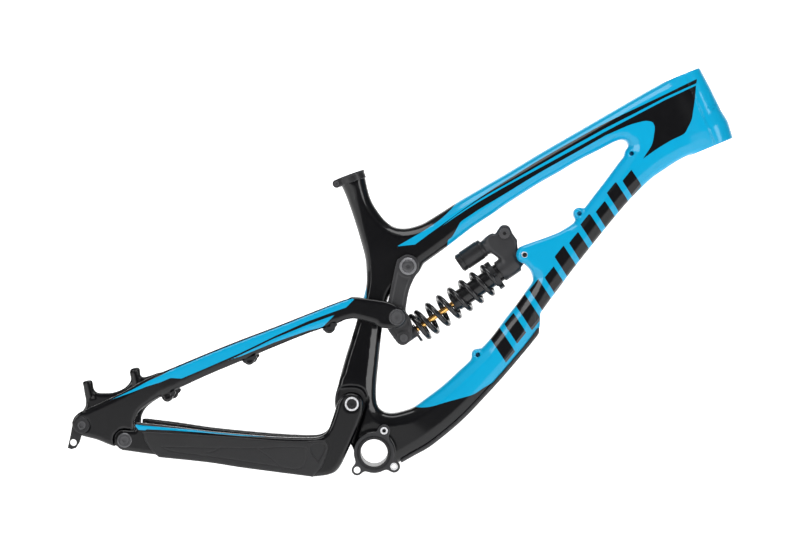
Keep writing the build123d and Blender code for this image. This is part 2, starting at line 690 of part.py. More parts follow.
with BuildPart() as rear_axle:
    with BuildSketch(along_y(REAR_AXLE, DROPOUT_OUT)):
        Circle(AXLE_R)
    extrude(amount=2 * DROPOUT_OUT)
    with BuildSketch(along_y(REAR_AXLE, DROPOUT_OUT)):
        Circle(10)
    extrude(amount=-3)
    with BuildSketch(along_y(REAR_AXLE, -DROPOUT_OUT)):
        RegularPolygon(3, 6)
    extrude(amount=-10, mode=Mode.SUBTRACT)
write(rear_axle.part, "rear_axle")

with BuildPart() as axle_nut:
    with BuildSketch(along_y(REAR_AXLE, -DROPOUT_OUT)):
        Circle(12)
        Circle(AXLE_R, mode=Mode.SUBTRACT)
    extrude(amount=2)
    chamfer(axle_nut.faces().sort_by(Axis.Y)[0].edges(), 0.8)
write(axle_nut.part, "axle_nut")

with BuildPart() as seatstay_pivot_bolts:
    with BuildSketch(along_y(LINK_PIVOT, -SEATSTAY_IN)):
        Circle(8)
    extrude(amount=SEATSTAY_OUT - SEATSTAY_IN)
    with BuildSketch(along_y(LINK_PIVOT, -SEATSTAY_OUT)):
        Circle(12.5)
        Circle(8, mode=Mode.SUBTRACT)
    extrude(amount=2)
    with BuildSketch(along_y(LINK_PIVOT, -SEATSTAY_OUT)):
        Circle(8)
        RegularPolygon(3.5, 6, mode=Mode.SUBTRACT)
    extrude(amount=1)
    mirror(about=Plane.XZ)
write(seatstay_pivot_bolts.part, "seatstay_pivot_bolts")

CLIP_SPOTS = ((-308, 88, 67), (-187, 141.5, 55), (-67, 189.5, 42))
with BuildPart() as hose_clips:
    for x, z, y in CLIP_SPOTS:
        with BuildSketch(Plane.XZ.offset(y + 5)):
            with Locations((x, z)):
                Ellipse(11, 5, rotation=22)
        extrude(amount=-10)
    mirror(about=Plane.XZ)
    add(seatstay.part, mode=Mode.SUBTRACT)
write(hose_clips.part, "hose_clips")

# ---- rocker link ---------------------------------------------------------------------------------
LINK_REAR = ((34, 284), (29, 255), (22, 225), (20.5, 205), (21, 190))
LINK_FRONT = ((68.5, 278), (58, 256), (49.5, 228), (48.5, 212), (55, 185))
CROSSBAR = (37, 236)
with BuildPart() as rocker_link:
    with BuildSketch(Plane.XZ):
        add(band(LINK_REAR, LINK_FRONT))
        with Locations(ROCKER_PIVOT):
            Circle(17.5)
        with Locations(LINK_PIVOT):
            Circle(14)
        with Locations(SHOCK_LOWER):
            Circle(10.5)
        with BuildLine():
            Polyline((21, 193), (37, 165.5), (55, 168), (55, 196), (21, 193))
        make_face()
    extrude(amount=LINK_OUT, both=True)
    with BuildSketch(Plane.XZ):
        Rectangle(FAR, 2 * FAR)
    extrude(amount=LINK_IN, both=True, mode=Mode.SUBTRACT)
    with BuildSketch(Plane.XZ):
        with Locations(CROSSBAR):
            Circle(6)
    extrude(amount=LINK_IN + 1, both=True)
    with BuildSketch(Plane.XZ):
        with Locations(ROCKER_PIVOT):
            Circle(BEARING_BORE)
        with Locations(LINK_PIVOT):
            Circle(9.5)
        with Locations(SHOCK_LOWER):
            Circle(4)
    extrude(amount=FAR, both=True, mode=Mode.SUBTRACT)
write(rocker_link.part, "rocker_link")

with BuildPart() as rocker_pivot_axle:
    with BuildSketch(along_y(ROCKER_PIVOT, LINK_OUT)):
        Circle(BEARING_BORE)
    extrude(amount=2 * LINK_OUT)
    with BuildSketch(along_y(ROCKER_PIVOT, -LINK_OUT)):
        Circle(9.5)
        RegularPolygon(4, 6, mode=Mode.SUBTRACT)
    extrude(amount=2.5)
    with BuildSketch(along_y(ROCKER_PIVOT, LINK_OUT)):
        Circle(9.5)
    extrude(amount=-2.5)
write(rocker_pivot_axle.part, "rocker_pivot_axle")

with BuildPart() as rocker_pivot_washers:
    with BuildSketch(along_y(ROCKER_PIVOT, -LINK_OUT)):
        Circle(13)
        Circle(9.5, mode=Mode.SUBTRACT)
        with PolarLocations(13, 24):
            Circle(0.6, mode=Mode.SUBTRACT)
    extrude(amount=1.5)
    mirror(about=Plane.XZ)
write(rocker_pivot_washers.part, "rocker_pivot_washers")

with BuildPart() as link_bearings:
    with BuildSketch(along_y(LINK_PIVOT, -LINK_IN)):
        Circle(9.5)
        Circle(5, mode=Mode.SUBTRACT)
    extrude(amount=LINK_OUT - LINK_IN)
    with BuildSketch(along_y(LINK_PIVOT, -LINK_OUT)):
        Circle(7.5)
        Circle(5, mode=Mode.SUBTRACT)
    extrude(amount=SEATSTAY_IN - LINK_OUT - GAP)
    mirror(about=Plane.XZ)
write(link_bearings.part, "link_bearings")

EYE_HALF = 11.0
with BuildPart() as lower_shock_bolts:
    with BuildSketch(along_y(SHOCK_LOWER, -EYE_HALF - GAP)):
        Circle(4)
    extrude(amount=LINK_OUT - EYE_HALF - GAP)
    with BuildSketch(along_y(SHOCK_LOWER, -EYE_HALF - GAP)):
        Circle(7)
        Circle(4, mode=Mode.SUBTRACT)
    extrude(amount=LINK_IN - EYE_HALF - GAP)
    with BuildSketch(along_y(SHOCK_LOWER, -LINK_OUT)):
        Circle(6)
        RegularPolygon(2.5, 6, mode=Mode.SUBTRACT)
    extrude(amount=1.5)
    mirror(about=Plane.XZ)
write(lower_shock_bolts.part, "lower_shock_bolts")

# ---- shock: head, damper tube and reservoir ------------------------------------------------------
HEAD_OUTLINE = (
    (166, 321), (171, 328), (179, 332), (185, 331), (190, 339), (197, 344), (204, 342), (209, 333),
    (216, 322), (217.5, 312), (213, 300), (219, 284), (216, 273), (207, 266), (200, 275), (192, 290),
    (184, 297), (176, 303), (171, 309), (166, 321),
)
HEAD_HALF = 15.0
DIAL_SPOT = (197.5, 331.0)
LOWER_DIAL_SPOT = (208.0, 277.0)
with BuildPart() as shock_head:
    with BuildSketch(Plane.XZ):
        with BuildLine():
            Polyline(*HEAD_OUTLINE)
        make_face()
    extrude(amount=HEAD_HALF, both=True)
    with BuildSketch(shock_plane(192)):
        Circle(17)
    extrude(amount=14)
    with BuildSketch(along_y(SHOCK_UPPER, 30)):
        Circle(13.2)
    extrude(amount=60, mode=Mode.SUBTRACT)
    with BuildSketch(Plane.XZ):
        with Locations(SHOCK_UPPER):
            Circle(12)
        with Locations(Location((218, 292, 0), (0, 0, degrees(SHOCK_TILT)))):
            Rectangle(26, 22)
    extrude(amount=12, both=True)
    with BuildSketch(along_y(LOWER_DIAL_SPOT, 17)):
        Circle(5.5)
    extrude(amount=7)
    with BuildSketch(along_y(SHOCK_UPPER, 30)):
        Circle(7.5)
    extrude(amount=60, mode=Mode.SUBTRACT)
    with BuildSketch(shock_plane(180)):
        Circle(DAMPER_R)
    extrude(amount=DAMPER_END - 180, mode=Mode.SUBTRACT)
write(Part(shock_head.part.solids().sort_by(SortBy.VOLUME)[-1].wrapped), "shock_head")

write(ring(along_y(SHOCK_UPPER, 12.5), 7.5, 4 + RUNNING, 25), "upper_eye_bushing")

SEAL_START, SEAL_R = 91.0, 13.0
with BuildPart() as damper_tube:
    with BuildSketch(shock_plane(DAMPER_START)):
        Circle(DAMPER_R)
        Circle(DAMPER_BORE, mode=Mode.SUBTRACT)
    extrude(amount=DAMPER_END - DAMPER_START)
write(damper_tube.part, "damper_tube")

write(ring(shock_plane(SEAL_START), SEAL_R, SHAFT_R + RUNNING, DAMPER_START - SEAL_START), "seal_head")

with BuildPart() as reservoir:
    with BuildSketch(shock_plane(132, RESERVOIR_LIFT)):
        Circle(RESERVOIR_R)
    extrude(amount=46)
    chamfer(reservoir.edges().group_by(Axis.X)[0], 1.5)
    add(shock_head.part, mode=Mode.SUBTRACT)
write(Part(reservoir.part.solids().sort_by(SortBy.VOLUME)[-1].wrapped), "reservoir")

with BuildPart() as reservoir_cap:
    with BuildSketch(shock_plane(129.5, RESERVOIR_LIFT)):
        Circle(12.5)
    extrude(amount=2.5)
write(reservoir_cap.part, "reservoir_cap")

with BuildPart() as compression_dial:
    with BuildSketch(along_y(DIAL_SPOT, -HEAD_HALF - 0.2)):
        Circle(8.5)
        with PolarLocations(8.8, 16):
            Circle(0.9, mode=Mode.SUBTRACT)
        RegularPolygon(3, 6, mode=Mode.SUBTRACT)
    extrude(amount=3.5)
write(compression_dial.part, "compression_dial")

with BuildPart() as rebound_dial:
    with BuildSketch(along_y(LOWER_DIAL_SPOT, 19.7)):
        Circle(5)
        with PolarLocations(5.2, 12):
            Circle(0.7, mode=Mode.SUBTRACT)
        RegularPolygon(2, 6, mode=Mode.SUBTRACT)
    extrude(amount=2.5)
write(rebound_dial.part, "rebound_dial")

COLLAR_START, COLLAR_LENGTH, COLLAR_R = 163.3, 8.0, 23.5
with BuildPart() as preload_collar:
    with BuildSketch(shock_plane(COLLAR_START)):
        Circle(COLLAR_R)
        Circle(DAMPER_R + RUNNING, mode=Mode.SUBTRACT)
        with PolarLocations(COLLAR_R, 8):
            Circle(2.5, mode=Mode.SUBTRACT)
    extrude(amount=COLLAR_LENGTH)
write(preload_collar.part, "preload_collar")

# ---- coil spring ---------------------------------------------------------------------------------
SPRING_TURNS = 8
spring_run = SPRING_END - SPRING_START - 2 * WIRE_R
spring_base = shock_plane(SPRING_START + WIRE_R)
with BuildPart() as coil_spring:
    with BuildLine() as wire_path:
        Helix(pitch=spring_run / SPRING_TURNS, height=spring_run, radius=SPRING_R)
    with BuildSketch(Plane(origin=wire_path.line @ 0, z_dir=wire_path.line % 0)):
        Circle(WIRE_R)
    sweep(path=wire_path.line)
write(spring_base.location * coil_spring.part, "coil_spring")

# ---- moving half of the shock --------------------------------------------------------------------
SHAFT_START, SHAFT_LENGTH = 14.0, 113.0
PISTON_START, PISTON_THICK = 118.0, 8.0
PERCH_START, PERCH_THICK, PERCH_R = 18.0, 4.0, 20.0
BUMP_GAP, BUMP_THICK, BUMP_R = 0.3, 1.9, 8.5
with BuildPart() as damper_shaft:
    with BuildSketch(shock_plane(SHAFT_START)):
        Circle(SHAFT_R)
    extrude(amount=SHAFT_LENGTH)
write(damper_shaft.part, "damper_shaft")

write(ring(shock_plane(PISTON_START), DAMPER_BORE - RUNNING, SHAFT_R, PISTON_THICK), "piston")
write(ring(shock_plane(PERCH_START + PERCH_THICK + BUMP_GAP), BUMP_R, SHAFT_R, BUMP_THICK), "bump_stop")
write(ring(shock_plane(PERCH_START), PERCH_R, SHAFT_R, PERCH_THICK), "spring_perch")

with BuildPart() as lower_eyelet:
    with BuildSketch(along_y(SHOCK_LOWER)):
        Circle(10)
    extrude(amount=EYE_HALF, both=True)
    with BuildSketch(shock_plane(0)):
        Circle(10)
    extrude(amount=18)
    with BuildSketch(shock_plane(14)):
        Circle(SHAFT_R)
    extrude(amount=4, mode=Mode.SUBTRACT)
    with BuildSketch(along_y(SHOCK_LOWER)):
        Circle(6)
    extrude(amount=EYE_HALF, both=True, mode=Mode.SUBTRACT)
write(lower_eyelet.part, "lower_eyelet")

write(ring(along_y(SHOCK_LOWER, EYE_HALF), 6, 4, 2 * EYE_HALF), "lower_eye_bushing")
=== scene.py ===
"""Looks of the full-suspension bicycle frame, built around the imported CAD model.

Blender's frame is the CAD's: metres, +X forwards, +Z up, drive side at -Y. Outlines below are in
millimetres in the middle plane, (x, z), and are scaled by MM when a mesh is made. The carbon pieces
are distance fields: an outline in the side view, a half width, creases and soft joints, meshed once.
"""

import json
import math

import bmesh
import bpy
import numpy as np
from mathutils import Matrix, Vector


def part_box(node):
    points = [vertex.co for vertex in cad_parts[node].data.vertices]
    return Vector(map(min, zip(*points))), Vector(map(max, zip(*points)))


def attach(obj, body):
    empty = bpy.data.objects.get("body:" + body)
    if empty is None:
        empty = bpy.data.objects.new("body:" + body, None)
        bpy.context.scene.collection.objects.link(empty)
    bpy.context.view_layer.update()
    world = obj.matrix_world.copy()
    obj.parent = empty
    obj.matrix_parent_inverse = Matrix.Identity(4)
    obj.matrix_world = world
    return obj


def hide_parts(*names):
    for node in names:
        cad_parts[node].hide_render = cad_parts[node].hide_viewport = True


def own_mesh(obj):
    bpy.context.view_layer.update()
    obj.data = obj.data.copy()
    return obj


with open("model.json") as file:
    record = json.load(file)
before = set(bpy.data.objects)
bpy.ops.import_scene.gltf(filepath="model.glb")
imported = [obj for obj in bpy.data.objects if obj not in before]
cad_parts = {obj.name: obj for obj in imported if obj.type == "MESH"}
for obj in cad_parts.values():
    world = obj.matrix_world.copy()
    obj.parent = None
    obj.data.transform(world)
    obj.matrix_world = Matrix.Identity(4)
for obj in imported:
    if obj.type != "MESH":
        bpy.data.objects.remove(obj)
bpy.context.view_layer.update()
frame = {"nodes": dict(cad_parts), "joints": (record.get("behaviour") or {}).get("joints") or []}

MM = 0.001
SHARP_DEGREES = 28.0
JOINT = {joint["name"]: joint for joint in frame["joints"]}


def pivot(name):
    """A hinge's place in the side view, in millimetres."""
    at = JOINT[name]["pos_m"]
    return np.array((at[0], at[2])) / MM


def centre(node):
    """The middle of a CAD node in the side view, in millimetres."""
    low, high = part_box(node)
    middle = (low + high) / 2
    return np.array((middle.x, middle.z)) / MM


MAIN = pivot("main_pivot")
REAR = pivot("rear_pivot")
ROCKER = pivot("rocker_pivot")
SHOCK_TOP = pivot("shock_swing")
SHOCK_FOOT = centre("lower_eye_bushing")
LINK = centre("link_bearings")
AXLE = centre("rear_axle")

# ---- Distance fields ---------------------------------------------


class Grid:
    """A regular grid over a box in millimetres; x, y and z broadcast against each other."""

    def __init__(self, x, y, z, step):
        self.step = step
        self.axes = [np.arange(low, high + step, step, dtype=np.float32) for low, high in (x, y, z)]
        self.low = np.array([axis[0] for axis in self.axes])
        self.x = self.axes[0][:, None, None]
        self.y = self.axes[1][None, :, None]
        self.z = self.axes[2][None, None, :]

    def plane(self):
        """The side view's points, shaped to broadcast along y."""
        return self.x, self.z


def curve(points, share=10):
    """Points along a smooth curve through the given ones."""
    p = np.array(points, float)
    before = np.vstack([2 * p[0] - p[1], p[:-1]])
    after = np.vstack([p[1:], 2 * p[-1] - p[-2]])
    slope = (after - before) / 2
    t = np.linspace(0, 1, share, endpoint=False)[:, None, None]
    one, two, m1, m2 = p[:-1], p[1:], slope[:-1], slope[1:]
    body = (
        (2 * t**3 - 3 * t**2 + 1) * one
        + (t**3 - 2 * t**2 + t) * m1
        + (3 * t**2 - 2 * t**3) * two
        + (t**3 - t**2) * m2
    )
    return np.vstack([body.transpose(1, 0, 2).reshape(-1, 2), p[-1:]])


def outline(*stretches):
    """A closed outline of smooth stretches that meet at corners."""
    return np.vstack([curve(s, 6) if len(s) > 2 else np.array(s, float) for s in stretches])


def path_distance(path, x, z):
    """Distance from each point of the side view to an open path."""
    best = np.full(np.broadcast(x, z).shape, np.inf, np.float32)
    for (ax, az), (bx, bz) in zip(path[:-1], path[1:]):
        dx, dz = bx - ax, bz - az
        length = dx * dx + dz * dz
        if length == 0:
            continue
        t = np.clip(((x - ax) * dx + (z - az) * dz) / length, 0, 1)
        best = np.minimum(best, (x - ax - t * dx) ** 2 + (z - az - t * dz) ** 2)
    return np.sqrt(best)


def area(loop, x, z):
    """Signed distance to a closed outline, negative inside."""
    closed = np.vstack([loop, loop[:1]])
    inside = np.zeros(np.broadcast(x, z).shape, bool)
    for (ax, az), (bx, bz) in zip(closed[:-1], closed[1:]):
        if az == bz:
            continue
        inside ^= ((az > z) != (bz > z)) & (x < (bx - ax) * (z - az) / (bz - az) + ax)
    return np.where(inside, -1, 1) * path_distance(closed, x, z)


def disc(at, radius, x, z):
    return np.sqrt((x - at[0]) ** 2 + (z - at[1]) ** 2) - radius


def blend_min(a, b, width):
    """Union of two fields with a fillet of about the given width."""
    h = np.clip(0.5 + 0.5 * (b - a) / width, 0, 1)
    return b + (a - b) * h - width * h * (1 - h)


def blend_max(a, b, width):
    """Intersection of two fields with a rounded edge."""
    return -blend_min(-a, -b, width)


def plate(side, lateral, reach, across):
    """Solid of a side-view field and a lateral field, its edges rounded by an ellipse."""
    p = np.maximum(side / reach + 1, 0)
    q = np.maximum(lateral / across + 1, 0)
    inner = np.minimum(np.maximum(side / reach, lateral / across) + 1, 0)
    return (np.sqrt(p * p + q * q) + inner - 1) * np.minimum(reach, across)


def crease(lateral, edge, width, slope):
    """Facet that falls away from the side face within a width of an edge path's distance."""
    return (lateral + slope * (width - edge)) / np.sqrt(1 + slope * slope)


def along_and_beside(at, direction, x, z):
    """Distances along and beside a line of the side view."""
    dx, dz = direction
    return (x - at[0]) * dx + (z - at[1]) * dz, (x - at[0]) * dz - (z - at[1]) * dx


def rod(grid, at, direction, start, end, radius, y=0.0):
    """Round bar parallel to the side view's plane, with flat ends."""
    along, beside = along_and_beside(at, direction, grid.x, grid.z)
    round_part = np.sqrt(beside * beside + (grid.y - y) ** 2) - radius
    return np.maximum(round_part, np.maximum(start - along, along - end))


def cut(body, *holes):
    """The body without the holes."""
    for hole in holes:
        body = np.maximum(body, -hole)
    return body


def nearest(x, z, *loops):
    """Signed distance to the closest of several closed outlines."""
    return np.min([area(np.array(loop, float), x, z) for loop in loops], axis=0)


def spread(points, values, x, z):
    """Smooth surface through values at points of the side view (thin plate)."""
    p = np.array(points, float)
    scale = 100.0

    def kernel(r2):
        return r2 * np.log(r2 + 1e-9) / (scale * scale)

    gap = ((p[:, None] - p[None]) ** 2).sum(-1)
    n = len(p)
    system = np.zeros((n + 3, n + 3))
    system[:n, :n] = kernel(gap)
    system[:n, n:] = np.column_stack([np.ones(n), p / scale])
    system[n:, :n] = system[:n, n:].T
    weights = np.linalg.solve(system, np.append(values, (0, 0, 0)))
    total = weights[n] + weights[n + 1] * x / scale + weights[n + 2] * z / scale
    for (px, pz), w in zip(p, weights):
        total = total + w * kernel((x - px) ** 2 + (z - pz) ** 2)
    return total


def net(field, grid):
    """Vertices (mm) and quads of the surface where the field is zero."""
    inside = field < 0
    cells = tuple(n - 1 for n in field.shape)
    count = np.zeros(cells, np.int8)
    corners = [(i, j, k) for i in (0, 1) for j in (0, 1) for k in (0, 1)]
    for i, j, k in corners:
        count += inside[i : i + cells[0], j : j + cells[1], k : k + cells[2]]
    cell = np.argwhere((count > 0) & (count < 8))
    index = np.full(cells, -1, np.int64)
    index[tuple(cell.T)] = np.arange(len(cell))
    total = np.zeros((len(cell), 3))
    hits = np.zeros(len(cell))
    for axis in range(3):
        step = np.eye(3, dtype=int)[axis]
        for corner in corners:
            if corner[axis]:
                continue
            a = cell + corner
            fa = field[tuple(a.T)]
            fb = field[tuple((a + step).T)]
            cross = (fa < 0) != (fb < 0)
            t = fa[cross] / (fa[cross] - fb[cross])
            total[cross] += np.array(corner) + t[:, None] * step
            hits[cross] += 1
    vertices = (cell + total / hits[:, None]) * grid.step + grid.low
    quads = []
    for axis in range(3):
        one, two = [a for a in range(3) if a != axis]
        lower = [slice(None)] * 3
        upper = [slice(None)] * 3
        lower[axis] = slice(0, field.shape[axis] - 1)
        upper[axis] = slice(1, field.shape[axis])
        change = inside[tuple(lower)] != inside[tuple(upper)]
        at = np.argwhere(change)
        keep = (at[:, one] > 0) & (at[:, one] < cells[one])
        keep &= (at[:, two] > 0) & (at[:, two] < cells[two])
        at = at[keep]
        starts_inside = inside[tuple(at.T)]
        ring = []
        for d_one, d_two in ((1, 1), (0, 1), (0, 0), (1, 0)):
            spot = at.copy()
            spot[:, one] -= d_one
            spot[:, two] -= d_two
            ring.append(index[tuple(spot.T)])
        ring = np.array(ring).T
        flip = starts_inside if axis != 1 else ~starts_inside
        ring[~flip] = ring[~flip][:, ::-1]
        quads.append(ring)
    return vertices, np.vstack(quads)


def piece(name, vertices, faces):
    """New smooth mesh object from millimetre vertices."""
    mesh = bpy.data.meshes.new(name)
    mesh.from_pydata((np.asarray(vertices) * MM).tolist(), [], [list(map(int, f)) for f in faces])
    mesh.update()
    mesh.shade_smooth()
    thing = bpy.data.objects.new(name, mesh)
    bpy.context.scene.collection.objects.link(thing)
    return thing


def finish_piece(thing, body, slot, material, *nodes):
    """Give a new piece its material and its body, and hide the CAD nodes that it stands for; the slot is
    not used.
    """
    thing.data.materials.append(material)
    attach(thing, body)
    if nodes:
        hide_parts(*nodes)


def store(thing, name, values):
    """Keep one number for each vertex, for the material to read."""
    layer = thing.data.attributes.new(name, "FLOAT", "POINT")
    layer.data.foreach_set("value", np.asarray(values, np.float32).ravel())


def mesh_points(thing):
    """The x, y and z of the mesh's points, in millimetres."""
    points = np.empty(len(thing.data.vertices) * 3)
    thing.data.vertices.foreach_get("co", points)
    return points.reshape(-1, 3).T / MM


def skin_faces(rings, sides):
    """Quads between neighbouring rings of points."""
    faces = []
    for i in range(rings - 1):
        for j in range(sides):
            k = (j + 1) % sides
            faces.append((i * sides + j, i * sides + k, (i + 1) * sides + k, (i + 1) * sides + j))
    return faces


def crisp(thing):
    """Smooth shading, broken where turned faces meet at an edge."""
    thing.data.set_sharp_from_angle(angle=math.radians(SHARP_DEGREES))
    return thing


def from_field(name, field, grid):
    """New mesh object from the zero surface of a field."""
    vertices, quads = net(field.astype(np.float32), grid)
    return piece(name, vertices, quads)


# ---- Front triangle: one moulded shell ---------------------------

HEAD_TOP = np.array((470.4, 573.3))
HEAD_DOWN = np.array((0.3827, -0.9239))
HEAD_LENGTH = 118.4
HEAD_PROFILE = ((0, 25.5), (34, 28.8), (72.6, 31.1), (91, 34.2), (104, 33.3), (HEAD_LENGTH, 31.7))
HEAD_BORE_TOP, HEAD_BORE_BOTTOM = 22.0, 28.0
HEAD_REACH, HEAD_FILLET = 50.0, 14.0
SEAT_DOWN = np.array((0.342, -0.940))
SEAT_TOP = np.array((-36.0, 420.0))
SEAT_R, SEAT_BORE, SEAT_BORE_DEPTH = 18.0, 14.4, 26.0
MAST_ROUND, MAST_ENDS, MAST_REACH, SHELL_ROUND = 35.0, 130.0, 40.0, 8.0
MAST_PLAIN, MAST_TAPER = 14.0, 30.0
BARREL_R, BARREL_BORE, BARREL_HALF = 29.0, 20.8, 36.5

SHELL_OUTSIDE = outline(
    ((494, 583), (480, 577), (465, 571), (450, 566), (425, 553), (400, 539), (350, 510), (300, 481),
     (250, 452), (200, 422), (150, 393), (125, 378), (100, 362), (75, 347), (58, 341), (45, 339),
     (35, 340), (25, 344), (15, 352), (5, 365), (-3, 378), (-10, 396), (-16, 427)),
    ((-57, 411), (-48, 402), (-38, 375), (-28, 345), (-20, 318), (-14, 295), (-12, 275), (-12, 255),
     (-16, 235), (-26, 200), (-35, 170), (-43, 145), (-50, 120), (-55, 100), (-59, 85), (-59, 68),
     (-52, 48), (-43, 25), (-33, 8), (-24, -8), (-14, -20), (0, -26), (18, -24), (37, -16)),
    ((37, -16), (60, -3), (80, 8), (100, 23), (120, 39.5), (140, 58), (160, 79), (180, 100.5),
     (200, 123), (222, 149), (240, 171), (250, 186), (252, 210)),
    ((252, 210), (265, 228), (280, 248), (300, 275), (330, 313), (350, 338), (380, 374), (400, 395),
     (420, 414), (440, 428), (460, 441), (480, 451), (500, 459), (520, 466), (545, 476)),
)
UPPER_WINDOW = outline(
    ((386, 462), (380, 450), (370, 437), (350, 410), (330, 384), (303, 348)),
    ((303, 348), (295, 342), (280, 333), (260, 325), (240, 318), (222, 311), (216, 303),
     (216, 294), (224, 288), (232, 281), (238, 272), (240.5, 262), (239, 256), (230, 243),
     (215, 222), (200, 203), (180, 176), (165, 159), (145, 138), (130, 124), (115, 110), (100, 97),
     (80, 82), (62, 69), (50, 64), (35, 60), (25, 59), (15, 61), (8, 66), (4, 75), (3, 90),
     (4, 110), (6, 130), (9, 160), (12, 188), (16, 215), (24, 240), (38, 256)),
    ((38, 256), (52, 262), (66, 270), (75, 285)),
    ((75, 285), (100, 303), (120, 318), (150, 341), (180, 361), (200, 375), (220, 388), (250, 407),
     (280, 424), (300, 436), (320, 447), (340, 457), (355, 465), (365, 470), (375, 473),
     (383, 470), (386, 462)),
)
CABLE_BOSSES = ((157, 147), (311, 361), (390, 452))
BOSS_R, CABLE_SOCKET_R = 9.5, 3.4
BRACKET_R = 12.8
SLOT_R, SLOT_HALF, SLOT_LENGTH = 17.5, 13.3, 20.0

SHELL_WIDTH = {
    (470, 560): 26, (500, 500): 29, (440, 535): 25.5, (400, 505): 24, (300, 455): 22.5,
    (200, 397): 21.5, (120, 345): 21.5, (60, 310): 21.5, (20, 320): 21, (-15, 350): 20,
    (-30, 390): 18.5, (5, 270): 20.5, (-8, 200): 22, (-20, 140): 28, (-33, 105): 33, (-2, 90): 33,
    (-12, 40): 34, (-33, 70): 33, (0, 0): 33, (30, 20): 33, (80, 50): 33, (150, 110): 32.5,
    (210, 175): 31.5, (250, 235): 30, (300, 300): 29, (350, 365): 28, (400, 425): 27.5,
    (440, 460): 28,
}
HOUSING_HALF = 30.2
PIVOT_POCKET = outline(
    ((-75, 97), (-53, 98), (-35, 100), (-20, 97), (-12, 88), (-10, 75), (-15, 55), (-21, 37), (-30, 8)),
    ((-30, 8), (-75, 8), (-75, 97)),
)
CREASES = (
    (((-48, 402), (-38, 375), (-28, 345), (-20, 318), (-14, 295), (-12, 265), (-16, 235), (-26, 200),
      (-35, 170), (-43, 145), (-50, 120)), 7, 0.75),
    (((12, 188), (9, 160), (6, 130), (4, 110), (3, 90), (4, 75), (15, 61), (35, 60), (62, 69),
      (100, 97), (130, 124), (165, 159), (200, 203), (230, 243), (240, 262)), 17, 0.42),
    (((303, 348), (330, 384), (350, 410), (370, 437), (386, 462)), 17, 0.42),
    (((-10, 396), (5, 365), (25, 344), (45, 339), (75, 347), (125, 378), (200, 422), (275, 466),
      (350, 510), (425, 553), (480, 577)), 13, 0.62),
    (((75, 285), (100, 303), (150, 341), (200, 375), (250, 407), (300, 436), (355, 465), (380, 472)),
     12, 0.5),
    (((37, -16), (60, -3), (100, 23), (140, 58), (180, 100), (222, 149), (252, 200), (280, 248),
      (330, 313), (380, 374), (420, 414), (460, 441), (500, 459)), 15, 0.36),
)


def moulded_tubes(grid, side, reach, aside):
    """The tubes' shared body: flat sides with creases, which turn into a round mast at the seat."""
    x, z = grid.plane()
    width = spread(list(SHELL_WIDTH), list(SHELL_WIDTH.values()), x, z)
    on_mast = (np.abs(aside) < MAST_REACH) & (reach < MAST_ENDS)
    faded = np.where(on_mast, np.clip((reach - MAST_ROUND) / (MAST_ENDS - MAST_ROUND), 0, 1), 1)
    width = width * faded + SEAT_R * (1 - faded)
    face = np.abs(grid.y) - width
    lateral = face
    for edge, span, slope in CREASES:
        gap = path_distance(curve(edge, 4), x, z)
        lateral = np.maximum(lateral, crease(face, gap, span, slope * faded))
    rounding = SHELL_ROUND * faded + (SEAT_R - 0.3) * (1 - faded)
    return plate(side, lateral, rounding, rounding)


def with_head_tube(grid, body):
    """The body with its head tube, flared at both ends and bored for the headset."""
    down, off = along_and_beside(HEAD_TOP, HEAD_DOWN, grid.x, grid.z)
    from_axis = np.sqrt(off * off + grid.y * grid.y)
    steps, radii = np.array(HEAD_PROFILE).T
    skin = from_axis - np.interp(down, steps, radii)
    ends = np.maximum(-down, down - HEAD_LENGTH)
    body = blend_min(body, np.maximum(skin, ends), HEAD_FILLET)
    body = np.maximum(body, skin - 3 * np.maximum(off, 0))
    body = np.maximum(body, np.minimum(ends, HEAD_REACH - from_axis))
    bore = np.where(down < HEAD_LENGTH / 2, HEAD_BORE_TOP, HEAD_BORE_BOTTOM)
    return np.maximum(body, np.minimum(bore - from_axis, 3 - ends))


def with_mast(grid, body, reach, aside):
    """The body with the round end of the seat mast, and the mouth of its bore."""
    from_mast = np.sqrt(aside * aside + grid.y * grid.y)
    taper = np.clip(reach - MAST_PLAIN, 0, MAST_TAPER) * 0.12
    mast = np.maximum(from_mast - SEAT_R + taper, reach - MAST_PLAIN - MAST_TAPER)
    body = np.maximum(blend_min(body, mast, 3), -reach)
    return cut(body, np.maximum(from_mast - SEAT_BORE, reach - SEAT_BORE_DEPTH))


